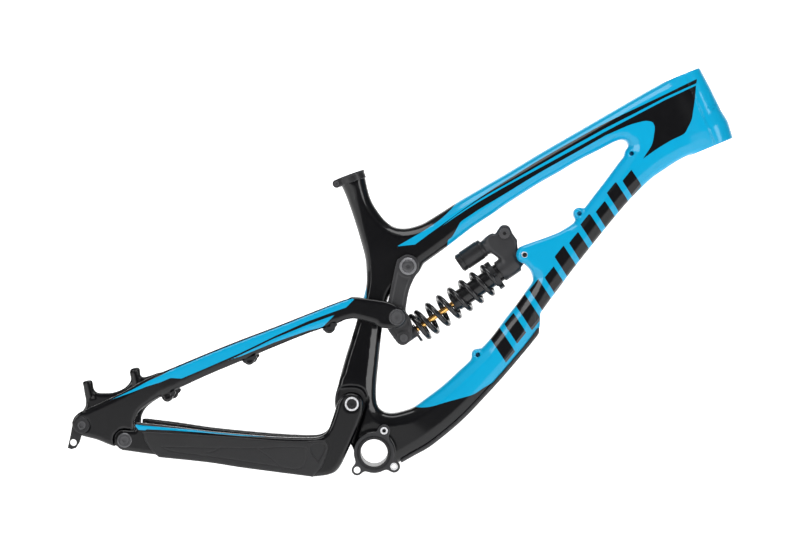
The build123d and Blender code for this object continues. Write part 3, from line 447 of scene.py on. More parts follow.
def front_shell():
    """Head tube, top tube, down tube, seat tube and pivot housing, moulded as one."""
    grid = Grid((-64, 552), (-41, 41), (-31, 590), 1.9)
    x, z = grid.plane()
    side = cut(area(SHELL_OUTSIDE, x, z), area(UPPER_WINDOW, x, z))
    for boss in CABLE_BOSSES:
        side = blend_min(side, disc(boss, BOSS_R, x, z), 5)
    side = np.minimum(side, disc(SHOCK_TOP, BRACKET_R, x, z))
    reach, aside = along_and_beside(SEAT_TOP, SEAT_DOWN, x, z)
    body = moulded_tubes(grid, side, reach, aside)
    body = with_mast(grid, with_head_tube(grid, body), reach, aside)
    # bottom bracket barrel and its bore
    from_bb = np.sqrt(grid.x**2 + grid.z**2)
    body = blend_min(body, np.maximum(from_bb - BARREL_R, np.abs(grid.y) - BARREL_HALF), 6)
    body = np.maximum(body, BARREL_BORE - from_bb)
    # room for the swingarm, pivot bores, and the slot of the shock bracket
    body = cut(body, blend_max(area(PIVOT_POCKET, x, z), HOUSING_HALF - np.abs(grid.y), 2))
    for at, bore in ((MAIN, 15), (ROCKER, 14), (SHOCK_TOP, 4)):
        body = cut(body, disc(at, bore, x, z))
    behind = np.abs(x - SHOCK_TOP[0] + SLOT_LENGTH) - SLOT_LENGTH
    channel = np.maximum(np.abs(z - SHOCK_TOP[1]) - SLOT_R, behind)
    slot = np.minimum(disc(SHOCK_TOP, SLOT_R, x, z), channel)
    body = cut(body, np.maximum(slot, np.abs(grid.y) - SLOT_HALF))
    for boss in CABLE_BOSSES:
        body = cut(body, np.maximum(disc(boss, CABLE_SOCKET_R, x, z), 10 - np.abs(grid.y)))
    return from_field("front_shell", body, grid), body, grid


# ---- Livery of the front triangle: black panels, a blue pinstripe and a row of slanted bars ----

STRIPE_TOP = ((100, 342), (120, 356.5), (140, 371), (160, 385), (180, 398.5), (200, 411),
              (250, 442), (300, 470.5), (350, 498), (400, 522), (440, 541), (489, 565))
STRIPE_BOTTOM = ((350, 479), (300, 450.5), (250, 422.5), (200, 392), (180, 380), (160, 368),
                 (145, 358), (136, 352), (130, 347), (124, 336), (118, 326), (112, 321))
HEAD_PANEL = ((487, 556), (485, 535), (482, 515), (480, 503), (474, 490), (468, 481), (450, 472),
              (430, 460), (410, 446), (400, 438), (392, 430))
SCOOP = ((392, 430), (403, 440), (410, 449), (418, 461), (421, 468), (423, 478), (424.5, 490),
         (423, 496), (420, 499.5), (412, 501), (405, 500), (390, 496), (375, 490), (350, 479))
FLASH = ((125, 378), (115, 366), (100, 352), (80, 338), (60, 326), (34, 311))
LOWER_EDGE = ((60, 68.5), (70, 67.5), (80, 68), (90, 70), (110, 76), (130, 81.5), (150, 87.5),
              (165, 97), (180, 106), (190, 113), (200, 122), (206, 130))
DARK_PANEL = outline(
    ((125, 400), (125, 378)), FLASH, ((34, 311), (62, 314)), ((62, 314), (80, 327.5), (100, 342)),
    STRIPE_TOP, ((489, 565), (487, 556)), HEAD_PANEL, SCOOP, STRIPE_BOTTOM,
    ((112, 321), (105, 300), (58, 250), (58, 68.5)), LOWER_EDGE,
    ((206, 130), (225, 150), (260, 150), (260, -100), (-100, -100), (-100, 450), (125, 450)),
)
PINSTRIPE_UPPER = ((104, 342.5), (120, 355.5), (140, 369.5), (160, 382.5), (180, 394.5), (200, 405.5),
                   (250, 434), (300, 462.5), (350, 490), (400, 515.5), (440, 536.5), (490, 559))
PINSTRIPE_LOWER = ((104, 342.5), (120, 353.7), (140, 367), (160, 379.5), (180, 391), (200, 402.5),
                   (250, 429.5), (300, 457), (350, 485), (400, 511.5), (440, 532.5), (490, 556))
# blue tick on the back of the seat tube
TICK = ((-24, 231.5), (-11.8, 231.5), (-11.8, 249.5), (-24, 249.5))
BARS_FROM, BARS_TO = np.array((186.0, 156.0)), np.array((402.0, 424.0))
BAR_HEIGHTS = (40, 30, 40, 36, 24, 40, 32, 40, 28, 38, 24)
BAR_SLANT, BAR_FILL = 13.0, 0.7
BAR_SHADE = 3.5


def bars():
    """Slanted blocks along the down tube, each a closed outline."""
    run = BARS_TO - BARS_FROM
    length = np.linalg.norm(run)
    along = run / length
    across = np.array((along[1], -along[0]))
    pitch = length / len(BAR_HEIGHTS)
    blocks = []
    for i, height in enumerate(BAR_HEIGHTS):
        foot = BARS_FROM + along * pitch * i
        wide = along * pitch * BAR_FILL
        half = across * height / 2 - along * BAR_SLANT * height / 80
        blocks.append(np.array((foot - half, foot + wide - half, foot + wide + half, foot + half)))
    return blocks, along, across


def paint_front(shell):
    """Side-view distances to the edges of the paint; the paint material compares them with zero."""
    x, _, z = mesh_points(shell)
    blocks, along, across = bars()
    offset = (across - along * 0.4) * BAR_SHADE
    dark = np.minimum(area(DARK_PANEL, x, z), nearest(x, z, *blocks))
    store(shell, "dark", cut(dark, nearest(x, z, TICK)))
    store(shell, "shade", nearest(x, z, *[block + offset for block in blocks]))
    store(shell, "stripe_over", z - np.interp(x, *np.array(PINSTRIPE_UPPER).T))
    store(shell, "stripe_under", np.interp(x, *np.array(PINSTRIPE_LOWER).T) - z)
    store(shell, "stripe_end", PINSTRIPE_LOWER[0][0] - x)


# ---- Swingarm ----------------------------------------------------

CHAINSTAY_PLAN = ((-375, 81.5, 4.5), (-348, 80.5, 5.0), (-300, 73.5, 7.5), (-150, 55.5, 7.5),
                  (-95, 45, 7.2), (-62, 39, 8), (0, 39, 8))
CHAINSTAY_SIDE = outline(
    ((-372, 35.5), (-358, 35.5)),
    ((-358, 46), (-352, 47.5)),
    ((-352, 47.5), (-300, 41), (-250, 34), (-200, 29), (-150, 25), (-120, 23.5), (-100, 23), (-85, 24),
     (-75, 28), (-69, 35), (-65, 45), (-60, 60), (-57, 70), (-52, 80), (-45, 87), (-34, 89.5),
     (-22, 85), (-16, 75), (-17, 60), (-22, 45), (-32, 20), (-40, 2), (-50, -18), (-58, -28),
     (-68, -33), (-80, -35), (-92, -36)),
    ((-92, -36), (-100, -34), (-150, -26), (-200, -18.5), (-250, -10.5), (-322, -2), (-372, 5)),
)
SEATSTAY_PLAN = ((-450, 83.75, 5.25), (-425, 83.5, 5.25), (-396, 81, 6), (-352, 74.5, 7),
                 (-300, 67, 7), (-200, 56.5, 7), (-100, 45, 6.3), (-40, 38.7, 5.4), (60, 38.65, 5.35))
SEATSTAY_SIDE = outline(
    ((49, 205), (48, 211), (35, 221), (20, 227.5), (0, 231), (-30, 234.5), (-40, 233), (-60, 226),
     (-100, 210), (-150, 190), (-200, 171), (-250, 151), (-300, 130), (-340, 113), (-380, 91),
     (-432, 67), (-447, 57), (-452, 47)),
    ((-452, 47), (-450, 38), (-440, 28), (-415, 21), (-400, 15), (-385, 9), (-376, 5.5), (-366, 7),
     (-360, 16), (-359, 30), (-359.5, 46), (-357, 55), (-351, 64), (-340, 73), (-320, 85), (-300, 94),
     (-250, 117), (-200, 138), (-150, 159), (-100, 179), (-75, 188), (-55, 194), (-45, 199),
     (-35, 200.5), (-25, 200), (0, 193), (12, 188), (25, 187), (38, 189), (46, 196), (49, 205)),
)
BRAKE_POSTS = ((-442.2, 104), (-369.8, 119.3))
POST_UP = (-0.22, 0.975)
POST_LENGTH, POST_R, POST_Y, POST_BORE_DEPTH, POST_BORE = 26.0, 6.8, 75.0, 15.0, 2.6
BRAKE_WEB = outline(
    ((-447.8, 96), (-447, 88), (-444.7, 74.8), (-445.7, 64.5), (-449.8, 59.4)),
    ((-449.8, 59.4), (-440, 50), (-380, 70), (-318, 110)),
    ((-318, 110), (-329.7, 117), (-345.1, 112.8), (-355.4, 110.8), (-361, 113)),
    ((-361, 113), (-363, 125), (-376, 122), (-374.9, 108.7)),
    ((-374.9, 108.7), (-376.9, 102.5), (-386.2, 93.3), (-401.6, 87.1), (-417, 86.1), (-427.2, 87.1),
     (-434, 92.3)),
    ((-434, 92.3), (-436, 105), (-448.5, 103), (-447.8, 96)),
)
STAY_BOSSES = ((-310, 86), (-188, 141), (-68, 188))
STAY_BOSS_R = 8.5
LUG_MIDDLE, LUG_HALF, LUG_ROOM = 71.25, 5.25, 24.0
PLATE_R, PLATE_ROOM, PLATE_INNER = 15.5, 17.5, 76.6
MAIN_BORE, REAR_BORE = 10.6, 6.0
CROWN = (-97.0, 194.0)
CROWN_R, CROWN_STRETCH, CROWN_HALF = 7.0, 1.9, 44.0
WEB_MIDDLE, WEB_HALF = 77.5, 6.5
YOKE = outline(((-76, -31), (-60, -27), (-50, -12), (-47, 2)),
               ((-47, 2), (-54, 15), (-68, 17), (-76, 0), (-76, -31)))
YOKE_HALF = 40.0
SEATSTAY_BEVELS = (
    (((-432, 67), (-380, 91), (-340, 113), (-300, 130), (-250, 151), (-200, 171), (-150, 190),
      (-100, 210), (-60, 226), (-40, 233)), 5.5, 0.7),
    (((-350, 62), (-320, 85), (-300, 94), (-250, 117), (-200, 138), (-150, 159), (-100, 179),
      (-55, 194), (-35, 200.5), (-25, 200), (0, 193)), 6.5, 0.6),
    (((-440, 28), (-415, 21), (-400, 15), (-385, 9)), 4, 0.6),
)
CHAINSTAY_BEVELS = (
    (((-352, 48), (-300, 41), (-200, 29), (-100, 23), (-75, 28), (-65, 45), (-57, 70)), 3.5, 0.7),
    (((-16, 75), (-17, 60), (-22, 45), (-32, 20), (-40, 2), (-50, -18), (-58, -28)), 4, 0.6),
)


def arms(grid, side, plan, bevels):
    """Two mirrored arms whose middle and half width follow a plan of (x, middle, half width)."""
    steps, middle, half = np.array(plan).T
    face = np.abs(np.abs(grid.y) - np.interp(grid.x, steps, middle)) - np.interp(grid.x, steps, half)
    lateral = face
    for edge, reach, slope in bevels:
        gap = path_distance(curve(edge, 4), grid.x, grid.z)
        lateral = np.maximum(lateral, crease(face, gap, reach, slope))
    return plate(side, lateral, 4.5, 3.5)


SEATSTAY_BAND = (
    (-395, 80.5), (-360, 97), (-340, 108), (-320, 117), (-300, 128), (-250, 149), (-200, 169),
    (-150, 190), (-100, 210.5), (-60, 224.5), (-45, 230), (-28, 233.5), (-42, 219), (-60, 212.7),
    (-100, 198), (-150, 175.5), (-200, 151), (-250, 129), (-289, 112.5), (-305, 113.5), (-320, 107),
    (-340, 101), (-360, 93),
)
SEATSTAY_SLIVER = ((-222, 138.5), (-200, 148), (-150, 172.5), (-100, 193), (-59, 208), (-78, 189),
                   (-100, 184), (-150, 166.5), (-200, 145.8))
SEATSTAY_RIM, CHAINSTAY_RIM = 2.6, 1.0
CHAINSTAY_BAND = ((-360, 44.5), (-345, 42.5), (-300, 38.5), (-250, 34), (-200, 28.7), (-130, 23),
                  (-200, 26.5), (-250, 31), (-300, 35), (-340, 37), (-342, 35.5), (-352, 36))


def paint_rear(thing, plan, side, rim, *bands):
    """Distance to the edge of the blue bands, which keep a rim and the arms' inner half black."""
    x, y, z = mesh_points(thing)
    steps, middle, _ = np.array(plan).T
    inner = np.interp(x, steps, middle) - np.abs(y)
    store(thing, "blue", np.max([nearest(x, z, *bands), inner, area(side, x, z) + rim], axis=0))


def chainstay_body():
    """Both chainstay arms with their uprights, and the yoke that joins them."""
    grid = Grid((-378, -10), (-90, 90), (-39, 94), 1.7)
    x, z = grid.plane()
    side = np.minimum(area(CHAINSTAY_SIDE, x, z), disc(REAR, PLATE_R, x, z))
    body = arms(grid, side, CHAINSTAY_PLAN, CHAINSTAY_BEVELS)
    body = blend_min(body, plate(area(YOKE, x, z), np.abs(grid.y) - YOKE_HALF, 5, 5), 7)
    lug_room = np.maximum(disc(REAR, LUG_ROOM, x, z), np.abs(grid.y) - PLATE_INNER)
    body = cut(body, disc(MAIN, MAIN_BORE, x, z), disc(REAR, REAR_BORE, x, z), lug_room)
    return from_field("chainstay_body", body, grid)


def seatstay_body():
    """Both seatstay arms with dropouts and lugs, the crown between them and the brake mount."""
    grid = Grid((-463, 56), (-91, 91), (0, 240), 1.9)
    x, z = grid.plane()
    side = area(SEATSTAY_SIDE, x, z)
    for boss in STAY_BOSSES:
        side = blend_min(side, disc(boss, STAY_BOSS_R, x, z), 4)
    body = arms(grid, side, SEATSTAY_PLAN, SEATSTAY_BEVELS)
    lug = plate(disc(REAR, 14, x, z), np.abs(np.abs(grid.y) - LUG_MIDDLE) - LUG_HALF, 3, 3)
    body = cut(body, np.maximum(disc(REAR, PLATE_ROOM, x, z), PLATE_INNER - 0.4 - np.abs(grid.y)))
    body = blend_min(body, lug, 3)
    crown = np.sqrt(((grid.x - CROWN[0]) / CROWN_STRETCH) ** 2 + (grid.z - CROWN[1]) ** 2) - CROWN_R
    body = blend_min(body, np.maximum(crown, np.abs(grid.y) - CROWN_HALF), 7)
    # brake mount on the far side, and the two bosses of its posts
    web = plate(area(BRAKE_WEB, x, z), np.abs(grid.y - WEB_MIDDLE) - WEB_HALF, 3.5, 3.5)
    body = blend_min(body, web, 4)
    for post in BRAKE_POSTS:
        body = blend_min(body, rod(grid, post, POST_UP, -POST_LENGTH, 0, POST_R, POST_Y), 3)
        body = cut(body, rod(grid, post, POST_UP, -POST_BORE_DEPTH, 2, POST_BORE, POST_Y))
    for at, bore in ((AXLE, 10.2), (REAR, 6.2), (LINK, 9.6)):
        body = cut(body, disc(at, bore, x, z))
    return from_field("seatstay_body", body, grid)


# ---- Rocker ------------------------------------------------------

ROCKER_SIDE = outline(
    ((68, 284), (66, 272), (60, 262), (53, 245), (49, 225), (48, 213), (53, 205), (57, 195),
     (57.5, 178), (54, 168), (46, 162), (38, 163), (30, 172), (20, 187), (16, 200), (17, 212),
     (21, 228), (33, 285), (38, 293), (48, 298.5), (58, 297), (66, 291), (68, 284)),
)
ROCKER_MIDDLE, ROCKER_HALF = 26.15, 3.85
ROCKER_BAR = (37.0, 236.0)
PANEL_RIM, PANEL_FLOOR = 5.5, 28.9


def rocker_body():
    """Two forged plates with a sunk panel, their three eyes and the bar between them."""
    grid = Grid((8, 76), (-34, 34), (154, 304), 1.1)
    x, z = grid.plane()
    side = area(ROCKER_SIDE, x, z)
    lateral = np.abs(np.abs(grid.y) - ROCKER_MIDDLE) - ROCKER_HALF
    body = plate(side, lateral, 1.6, 1.6)
    bar = np.maximum(disc(ROCKER_BAR, 6.5, x, z), np.abs(grid.y) - 27)
    body = blend_min(body, bar, 4)
    panel = np.maximum(side + PANEL_RIM, PANEL_FLOOR - np.abs(grid.y))
    eyes = ((ROCKER, 17, 9.6), (LINK, 15, 9.6), (SHOCK_FOOT, 11, 4.1))
    for at, boss, _ in eyes:
        panel = cut(panel, disc(at, boss, x, z))
    body = cut(body, panel)
    for at, _, bore in eyes:
        body = cut(body, disc(at, bore, x, z))
    return from_field("rocker_body", body, grid)


# ---- Guards ------------------------------------------------------

TUBE_GUARD_LINE = ((38, -16), (60, -3), (80, 8), (100, 23), (120, 39.5), (140, 58), (160, 79),
                   (180, 100.5), (200, 123), (222, 149), (240, 171), (249, 184))
TUBE_GUARD_WRAP, TUBE_GUARD_THICK, TUBE_GUARD_ENDS = 4.0, 2.8, (40, 250)
STAY_GUARD_SIDE = outline(
    ((-345, 30), (-343, 20), (-333, 5), (-322, -5)),
    ((-322, -5), (-250, -13), (-200, -21), (-150, -28), (-100, -35), (-92, -36.5)),
    ((-92, -36.5), (-90, -33), (-78, -20), (-70, 0), (-68, 10), (-72, 19)),
    ((-72, 19), (-90, 19), (-110, 18), (-150, 20), (-200, 24.5), (-280, 30), (-343, 33.5), (-345, 30)),
)
STAY_GUARD_LINES = (
    ((-318, 11), (-250, 9), (-180, 8), (-112, 9), (-101, 0), (-112, -23), (-160, -17), (-230, -6),
     (-300, 4), (-318, 11)),
    ((-250, 2), (-240, 4), (-229, 10)),
    ((-174, 6), (-160, -3), (-140, -20)),
)
STAY_GUARD_THICK = 3.0
POCKET = ((-84, -14), (-76, 0), (-73, 10), (-80, 14), (-92, 14), (-95, 2), (-84, -14))


def tube_guard(body, grid):
    """Rubber skin moulded over the underside of the down tube."""
    gap = path_distance(curve(TUBE_GUARD_LINE, 4), grid.x, grid.z) - TUBE_GUARD_WRAP
    gap = np.maximum(gap, np.maximum(TUBE_GUARD_ENDS[0] - grid.x, grid.x - TUBE_GUARD_ENDS[1]) * 0.8)
    skin = np.maximum(body - TUBE_GUARD_THICK, -1.2 - body)
    return from_field("down_tube_guard_skin", blend_max(skin, gap, 2.5), grid)


def stay_guard():
    """Rubber cover on the drive side of the chainstay, with moulded panel lines."""
    grid = Grid((-350, -62), (-91, -38), (-40, 38), 0.85)
    x, z = grid.plane()
    steps, middle, half = np.array(CHAINSTAY_PLAN).T
    outer = np.interp(grid.x, steps, middle) + np.interp(grid.x, steps, half) + STAY_GUARD_THICK
    inner = np.interp(grid.x, steps, middle) - 2
    side = area(STAY_GUARD_SIDE, x, z)
    field = plate(side, -grid.y - outer, 3.5, 3.5)
    for line in STAY_GUARD_LINES:
        groove = path_distance(curve(line, 5), x, z)
        depth = np.maximum(groove - 0.7, outer - 0.7 + grid.y)
        field = blend_max(field, -depth, 0.4)
    pocket = np.maximum(area(outline(POCKET), x, z), outer - 1.8 + grid.y)
    field = np.maximum(blend_max(field, -pocket, 1.0), inner + grid.y)
    return from_field("chainstay_guard_skin", field, grid)


# ---- Shock -------------------------------------------------------

STROKE = np.array((0.82389, 0.56675))
LIFT = np.array((-STROKE[1], STROKE[0]))
WIRE_RING, WIRE = 21.1, 3.9
LAST_TOP, PITCH, CLOSED_PITCH = 159.6, 20.4, 9.4
SPRING_FROM, SPRING_TO = -7.1, 0.38
ADJUSTER = centre("compression_dial")
SHAFT_REACH, SHAFT_BORE = 196.5, 7.4
HEAD_CASTING = outline(
    ((167, 320), (170, 326), (178, 331), (184, 331), (188, 337), (193, 343), (199, 344), (205, 341),
     (210, 331), (217, 321)),
    ((217, 321), (218, 307), (224, 285), (222, 280), (216, 272), (207, 266)),
    ((207, 266), (203, 268), (199, 277), (192, 290), (185, 296), (176, 303), (172, 310), (167, 320)),
)
RESERVOIR_LIFT, RESERVOIR_FROM, RESERVOIR_TO, RESERVOIR_R = 44.8, 132.2, 178.0, 15.0
RESERVOIR_CAP = ((0, 0), (0, 11.0), (0.8, 12.6), (2.6, 14.4), (8.0, 14.4), (8.5, 13.9), (9.3, 13.9),
                 (9.8, RESERVOIR_R))
RESERVOIR_END = ((7, RESERVOIR_R), (6.4, 14.3), (5.2, 14.3), (4.6, 14.8), (1.6, 14.2), (0, 12.4), (0, 0))


def shock_point(distance, lift=0.0):
    """A point of the side view, from the shock's lower eye along and across its axis."""
    return SHOCK_FOOT + STROKE * distance + LIFT * lift


def spring_place(turn):
    """Distance of the wire's middle along the shock; the end turns lie close together."""
    if turn > 0:
        return LAST_TOP + CLOSED_PITCH * turn
    if turn > -6:
        return LAST_TOP + PITCH * turn
    return LAST_TOP - 6 * PITCH + CLOSED_PITCH * (turn + 6)


def coil():
    """The spring's wire as one round tube, a little thinner at its closed ends."""
    rows = np.linspace(SPRING_FROM, SPRING_TO, 560)
    steps = np.arange(len(rows))
    places = np.array([spring_place(t) for t in rows])
    places = np.convolve(np.pad(places, 12, "reflect", reflect_type="odd"), np.ones(25) / 25, "valid")
    angle = rows * 2 * math.pi
    ring = np.outer(np.cos(angle), (LIFT[0], 0, LIFT[1])) - np.outer(np.sin(angle), (0, 1, 0))
    axis = np.array((STROKE[0], 0, STROKE[1]))
    foot = np.array((SHOCK_FOOT[0], 0, SHOCK_FOOT[1]))
    line = foot + np.outer(places, axis) + WIRE_RING * ring
    run = np.gradient(line, axis=0)
    run /= np.linalg.norm(run, axis=1)[:, None]
    across = np.cross(run, ring)
    across /= np.linalg.norm(across, axis=1)[:, None]
    out = np.cross(across, run)
    sides = 20
    turn = np.linspace(0, 2 * math.pi, sides, endpoint=False)
    wire = WIRE * np.minimum(1, 0.55 + 0.05 * np.minimum(steps, steps[::-1]))
    tube = line[:, None] + wire[:, None, None] * (
        np.cos(turn)[None, :, None] * out[:, None] + np.sin(turn)[None, :, None] * across[:, None]
    )
    last = (len(rows) - 1) * sides
    ends = [tuple(range(sides))[::-1], tuple(range(last, last + sides))]
    return piece("coil_spring_wire", tube.reshape(-1, 3), skin_faces(len(rows), sides) + ends)


def shock_rod(grid, start, end, radius, lift=0.0):
    return rod(grid, shock_point(0, lift), STROKE, start, end, radius)


def head_casting():
    """Forged top of the shock: eye, damper socket, adjuster knuckle and reservoir neck."""
    grid = Grid((118, 246), (-19, 19), (258, 350), 1.0)
    x, z = grid.plane()
    body = plate(area(HEAD_CASTING, x, z), np.abs(grid.y) - 14.5, 6, 6)
    body = blend_min(body, shock_rod(grid, 177, 206, 16.8), 4)
    eye = np.maximum(disc(SHOCK_TOP, 12, x, z), np.abs(grid.y) - 12)
    link = shock_rod(grid, 200, 222, 10.5)
    body = blend_min(blend_min(body, link, 5), eye, 3)
    neck = shock_rod(grid, 172, 186, 11.5, RESERVOIR_LIFT - 2)
    body = blend_min(body, neck, 5)
    dial_seat = np.maximum(disc(ADJUSTER, 8.8, x, z), 14.3 + grid.y)
    body = cut(body, shock_rod(grid, 170, SHAFT_REACH, SHAFT_BORE), disc(SHOCK_TOP, 7.6, x, z), dial_seat)
    return from_field("shock_head_casting", body, grid)


def reservoir_can():
    """Turned aluminium can with a chamfered cap and a groove near each end."""
    profile = [(RESERVOIR_FROM + run, radius) for run, radius in RESERVOIR_CAP]
    profile += [(RESERVOIR_TO - run, radius) for run, radius in RESERVOIR_END]
    return turned("reservoir_can", profile, RESERVOIR_LIFT)


def turned(name, profile, lift=0.0, sides=96):
    """Body of revolution about the shock's axis, from (distance, radius) pairs."""
    axis = np.array((STROKE[0], 0, STROKE[1]))
    foot = shock_point(0, lift)
    foot = np.array((foot[0], 0, foot[1]))
    up = np.array((LIFT[0], 0, LIFT[1]))
    angle = np.linspace(0, 2 * math.pi, sides, endpoint=False)
    rim = np.outer(np.cos(angle), up) + np.outer(np.sin(angle), (0, 1, 0))
    points = []
    for distance, radius in profile:
        points.append(foot + axis * distance + rim * max(radius, 0.01))
    return crisp(piece(name, np.vstack(points), skin_faces(len(profile), sides)))


# ---- Hardware ----------------------------------------------------

GUIDE_TABS = (((15.1, 33.2), 9.2, 5.7), ((30.1, -20.7), 9.2, 5.7), ((-25.6, -26.0), 8.2, 5.0))
GUIDE_NEAR, GUIDE_FAR = -50.0, -45.0
EAR = centre("seat_clamp_bolt")


def guide_plate():
    """Chain guide ring round the bottom bracket, with three tabs that flow into it."""
    grid = Grid((-38, 42), (-53, -42), (-38, 46), 0.7)
    x, z = grid.plane()
    side = disc((0, 0), 30.5, x, z)
    for tab, size, _ in GUIDE_TABS:
        side = blend_min(side, disc(tab, size, x, z), 9)
    side = cut(side, disc((0, 0), 23.8, x, z))
    for tab, _, hole in GUIDE_TABS:
        side = cut(side, disc(tab, hole, x, z))
    thick = np.maximum(GUIDE_NEAR - grid.y, grid.y - GUIDE_FAR)
    return from_field("chain_guide_ring", plate(side, thick, 1.3, 1.3), grid)


def spindle(name, at, profile, socket=None, sides=72):
    """Bar turned about Y from (y, radius) pairs, with an optional six-sided socket in its first end."""
    rows = [(y, radius, False) for y, radius in profile]
    if socket:
        radius, depth = socket
        face = profile[0][0]
        floor = face + (depth if profile[-1][0] > face else -depth)
        rows = [(floor, 0.01, False), (floor, radius, True), (face, radius, True)] + rows
    angle = np.linspace(0, 2 * math.pi, sides, endpoint=False)
    wedge = np.mod(angle, math.pi / 3) - math.pi / 6
    points = []
    for y, radius, six_sided in rows:
        r = np.full(sides, radius)
        if six_sided:
            r = radius / np.cos(wedge) * math.cos(math.pi / 6) * 1.1
        ring = (at[0] + r * np.cos(angle), np.full(sides, y), at[1] + r * np.sin(angle))
        points.append(np.column_stack(ring))
    thing = piece(name, np.vstack(points), skin_faces(len(rows), sides))
    tidy = bmesh.new()
    tidy.from_mesh(thing.data)
    bmesh.ops.remove_doubles(tidy, verts=tidy.verts, dist=1e-6)
    bmesh.ops.recalc_face_normals(tidy, faces=tidy.faces)
    tidy.to_mesh(thing.data)
    tidy.free()
    return crisp(thing)


def collar():
    """Seat clamp: a round band with a rolled lip, a split and the ear of its bolt."""
    grid = Grid((-70, -8), (-24, 24), (394, 434), 0.8)
    down, aside = along_and_beside(SEAT_TOP, SEAT_DOWN, grid.x, grid.z)
    from_axis = np.sqrt(aside * aside + grid.y**2)
    body = plate(from_axis - 21, np.abs(down - 5.4) - 6.4, 1.2, 1.2)
    body = np.minimum(body, plate(from_axis - 21.8, np.abs(down - 0.6) - 1.5, 1.0, 1.0))
    ear = disc(EAR, 6.2, grid.x, grid.z)
    body = blend_min(body, plate(ear, np.abs(grid.y) - 9, 1.2, 1.2), 3)
    body = np.maximum(body, 18.05 - from_axis)
    split = np.maximum(np.abs(grid.y) - 1.1, grid.x - SEAT_TOP[0] + 6)
    body = cut(body, split, np.maximum(ear + 3.4, 6.5 - np.abs(grid.y)))
    return from_field("seat_clamp_band", body, grid)


# ---- Materials ---------------------------------------------------


class Shader:
    """One material, built by adding nodes."""

    def __init__(self, name):
        self.material = bpy.data.materials.new(name)
        self.material.use_nodes = True
        self.nodes = self.material.node_tree.nodes
        self.links = self.material.node_tree.links
        self.surface = self.nodes["Principled BSDF"]
        self.place = self.node("ShaderNodeTexCoord").outputs["Object"]

    def node(self, kind, **settings):
        made = self.nodes.new(kind)
        for key, value in settings.items():
            setattr(made, key, value)
        return made

    def set(self, **values):
        """Uniform values, straight on the shader's sockets."""
        for key, value in values.items():
            self.surface.inputs[key.replace("_", " ")].default_value = value

    def feed(self, socket, output):
        self.links.new(output, self.surface.inputs[socket])

    def math(self, operation, first, second=0.0, clamp=False):
        made = self.node("ShaderNodeMath", operation=operation, use_clamp=clamp)
        for socket, value in zip(made.inputs, (first, second)):
            if isinstance(value, (int, float)):
                socket.default_value = value
            else:
                self.links.new(value, socket)
        return made.outputs[0]

    def stored(self, name):
        return self.node("ShaderNodeAttribute", attribute_name=name).outputs["Fac"]

    def inside(self, distance, softness=0.35):
        """1 where a stored distance in millimetres is negative, with a crisp edge."""
        scaled = self.math("MULTIPLY", distance, -1 / softness)
        return self.math("ADD", scaled, 0.5, clamp=True)

    def texture(self, kind, output, settings, **choices):
        """A texture over the object's own coordinates."""
        made = self.node(kind, **choices)
        self.links.new(self.place, made.inputs["Vector"])
        for socket, value in settings.items():
            made.inputs[socket].default_value = value
        return made.outputs[output]

    def noise(self, scale, detail=3.0):
        return self.texture("ShaderNodeTexNoise", "Fac", {"Scale": scale, "Detail": detail})

    def between(self, factor, low, high):
        """Spread the middle of a 0-1 value over a range."""
        made = self.node("ShaderNodeMapRange")
        self.links.new(factor, made.inputs["Value"])
        limits = {"From Min": 0.3, "From Max": 0.7, "To Min": low, "To Max": high}
        for socket, value in limits.items():
            made.inputs[socket].default_value = value
        return made.outputs[0]

    def mix(self, factor, first, second):
        made = self.node("ShaderNodeMix", data_type="RGBA")
        if isinstance(factor, (int, float)):
            made.inputs[0].default_value = factor
        else:
            self.links.new(factor, made.inputs[0])
        for index, value in ((6, first), (7, second)):
            if isinstance(value, tuple):
                made.inputs[index].default_value = (*value, 1.0)
            else:
                self.links.new(value, made.inputs[index])
        return made.outputs[2]

    def bump(self, height, strength, distance):
        made = self.node("ShaderNodeBump")
        made.inputs["Strength"].default_value = strength
        made.inputs["Distance"].default_value = distance
        self.links.new(height, made.inputs["Height"])
        self.feed("Normal", made.outputs[0])


BLUE = (0.0, 0.285, 0.49)
BLUE_DEEP = (0.0, 0.26, 0.46)
LACQUER = (0.0010, 0.0010, 0.0016)
LACQUER_FIBRE = (0.0018, 0.0018, 0.0025)
LACQUER_CLOUD = (0.0022, 0.0022, 0.003)
RUBBER, RUBBER_DUST = (0.009, 0.009, 0.010), (0.014, 0.014, 0.015)
GREY_TRIM = (0.045, 0.045, 0.048)


def carbon(shader):
    """Clear-coated black composite: a faint slanting weave below the lacquer."""
    bands = {"wave_type": "BANDS", "bands_direction": "DIAGONAL"}
    weave = shader.texture("ShaderNodeTexWave", "Fac", {"Scale": 190.0, "Distortion": 1.2}, **bands)
    cloud = shader.noise(26.0, 4.0)
    fibre = shader.mix(weave, LACQUER, LACQUER_FIBRE)
    return shader.mix(shader.math("MULTIPLY", cloud, 0.5), fibre, LACQUER_CLOUD)


def paint(name, livery):
    """Gloss paint: livery takes the shader and returns how blue and how grey each point is."""
    shader = Shader(name)
    black = carbon(shader)
    blue = shader.mix(shader.noise(9.0, 2.0), BLUE, BLUE_DEEP)
    is_blue, is_grey = livery(shader)
    colour = shader.mix(is_blue, black, blue)
    if is_grey is not None:
        colour = shader.mix(is_grey, colour, GREY_TRIM)
    shader.feed("Base Color", colour)
    gloss = shader.between(shader.noise(120.0, 3.0), 0.3, 0.36)
    shader.feed("Roughness", gloss)
    shader.set(Coat_Weight=0.7, Coat_Roughness=0.05, Coat_IOR=1.38)
    shader.set(IOR=1.5, Specular_IOR_Level=0.12)
    shader.bump(shader.noise(260.0, 1.0), 0.02, 0.0002)
    return shader.material


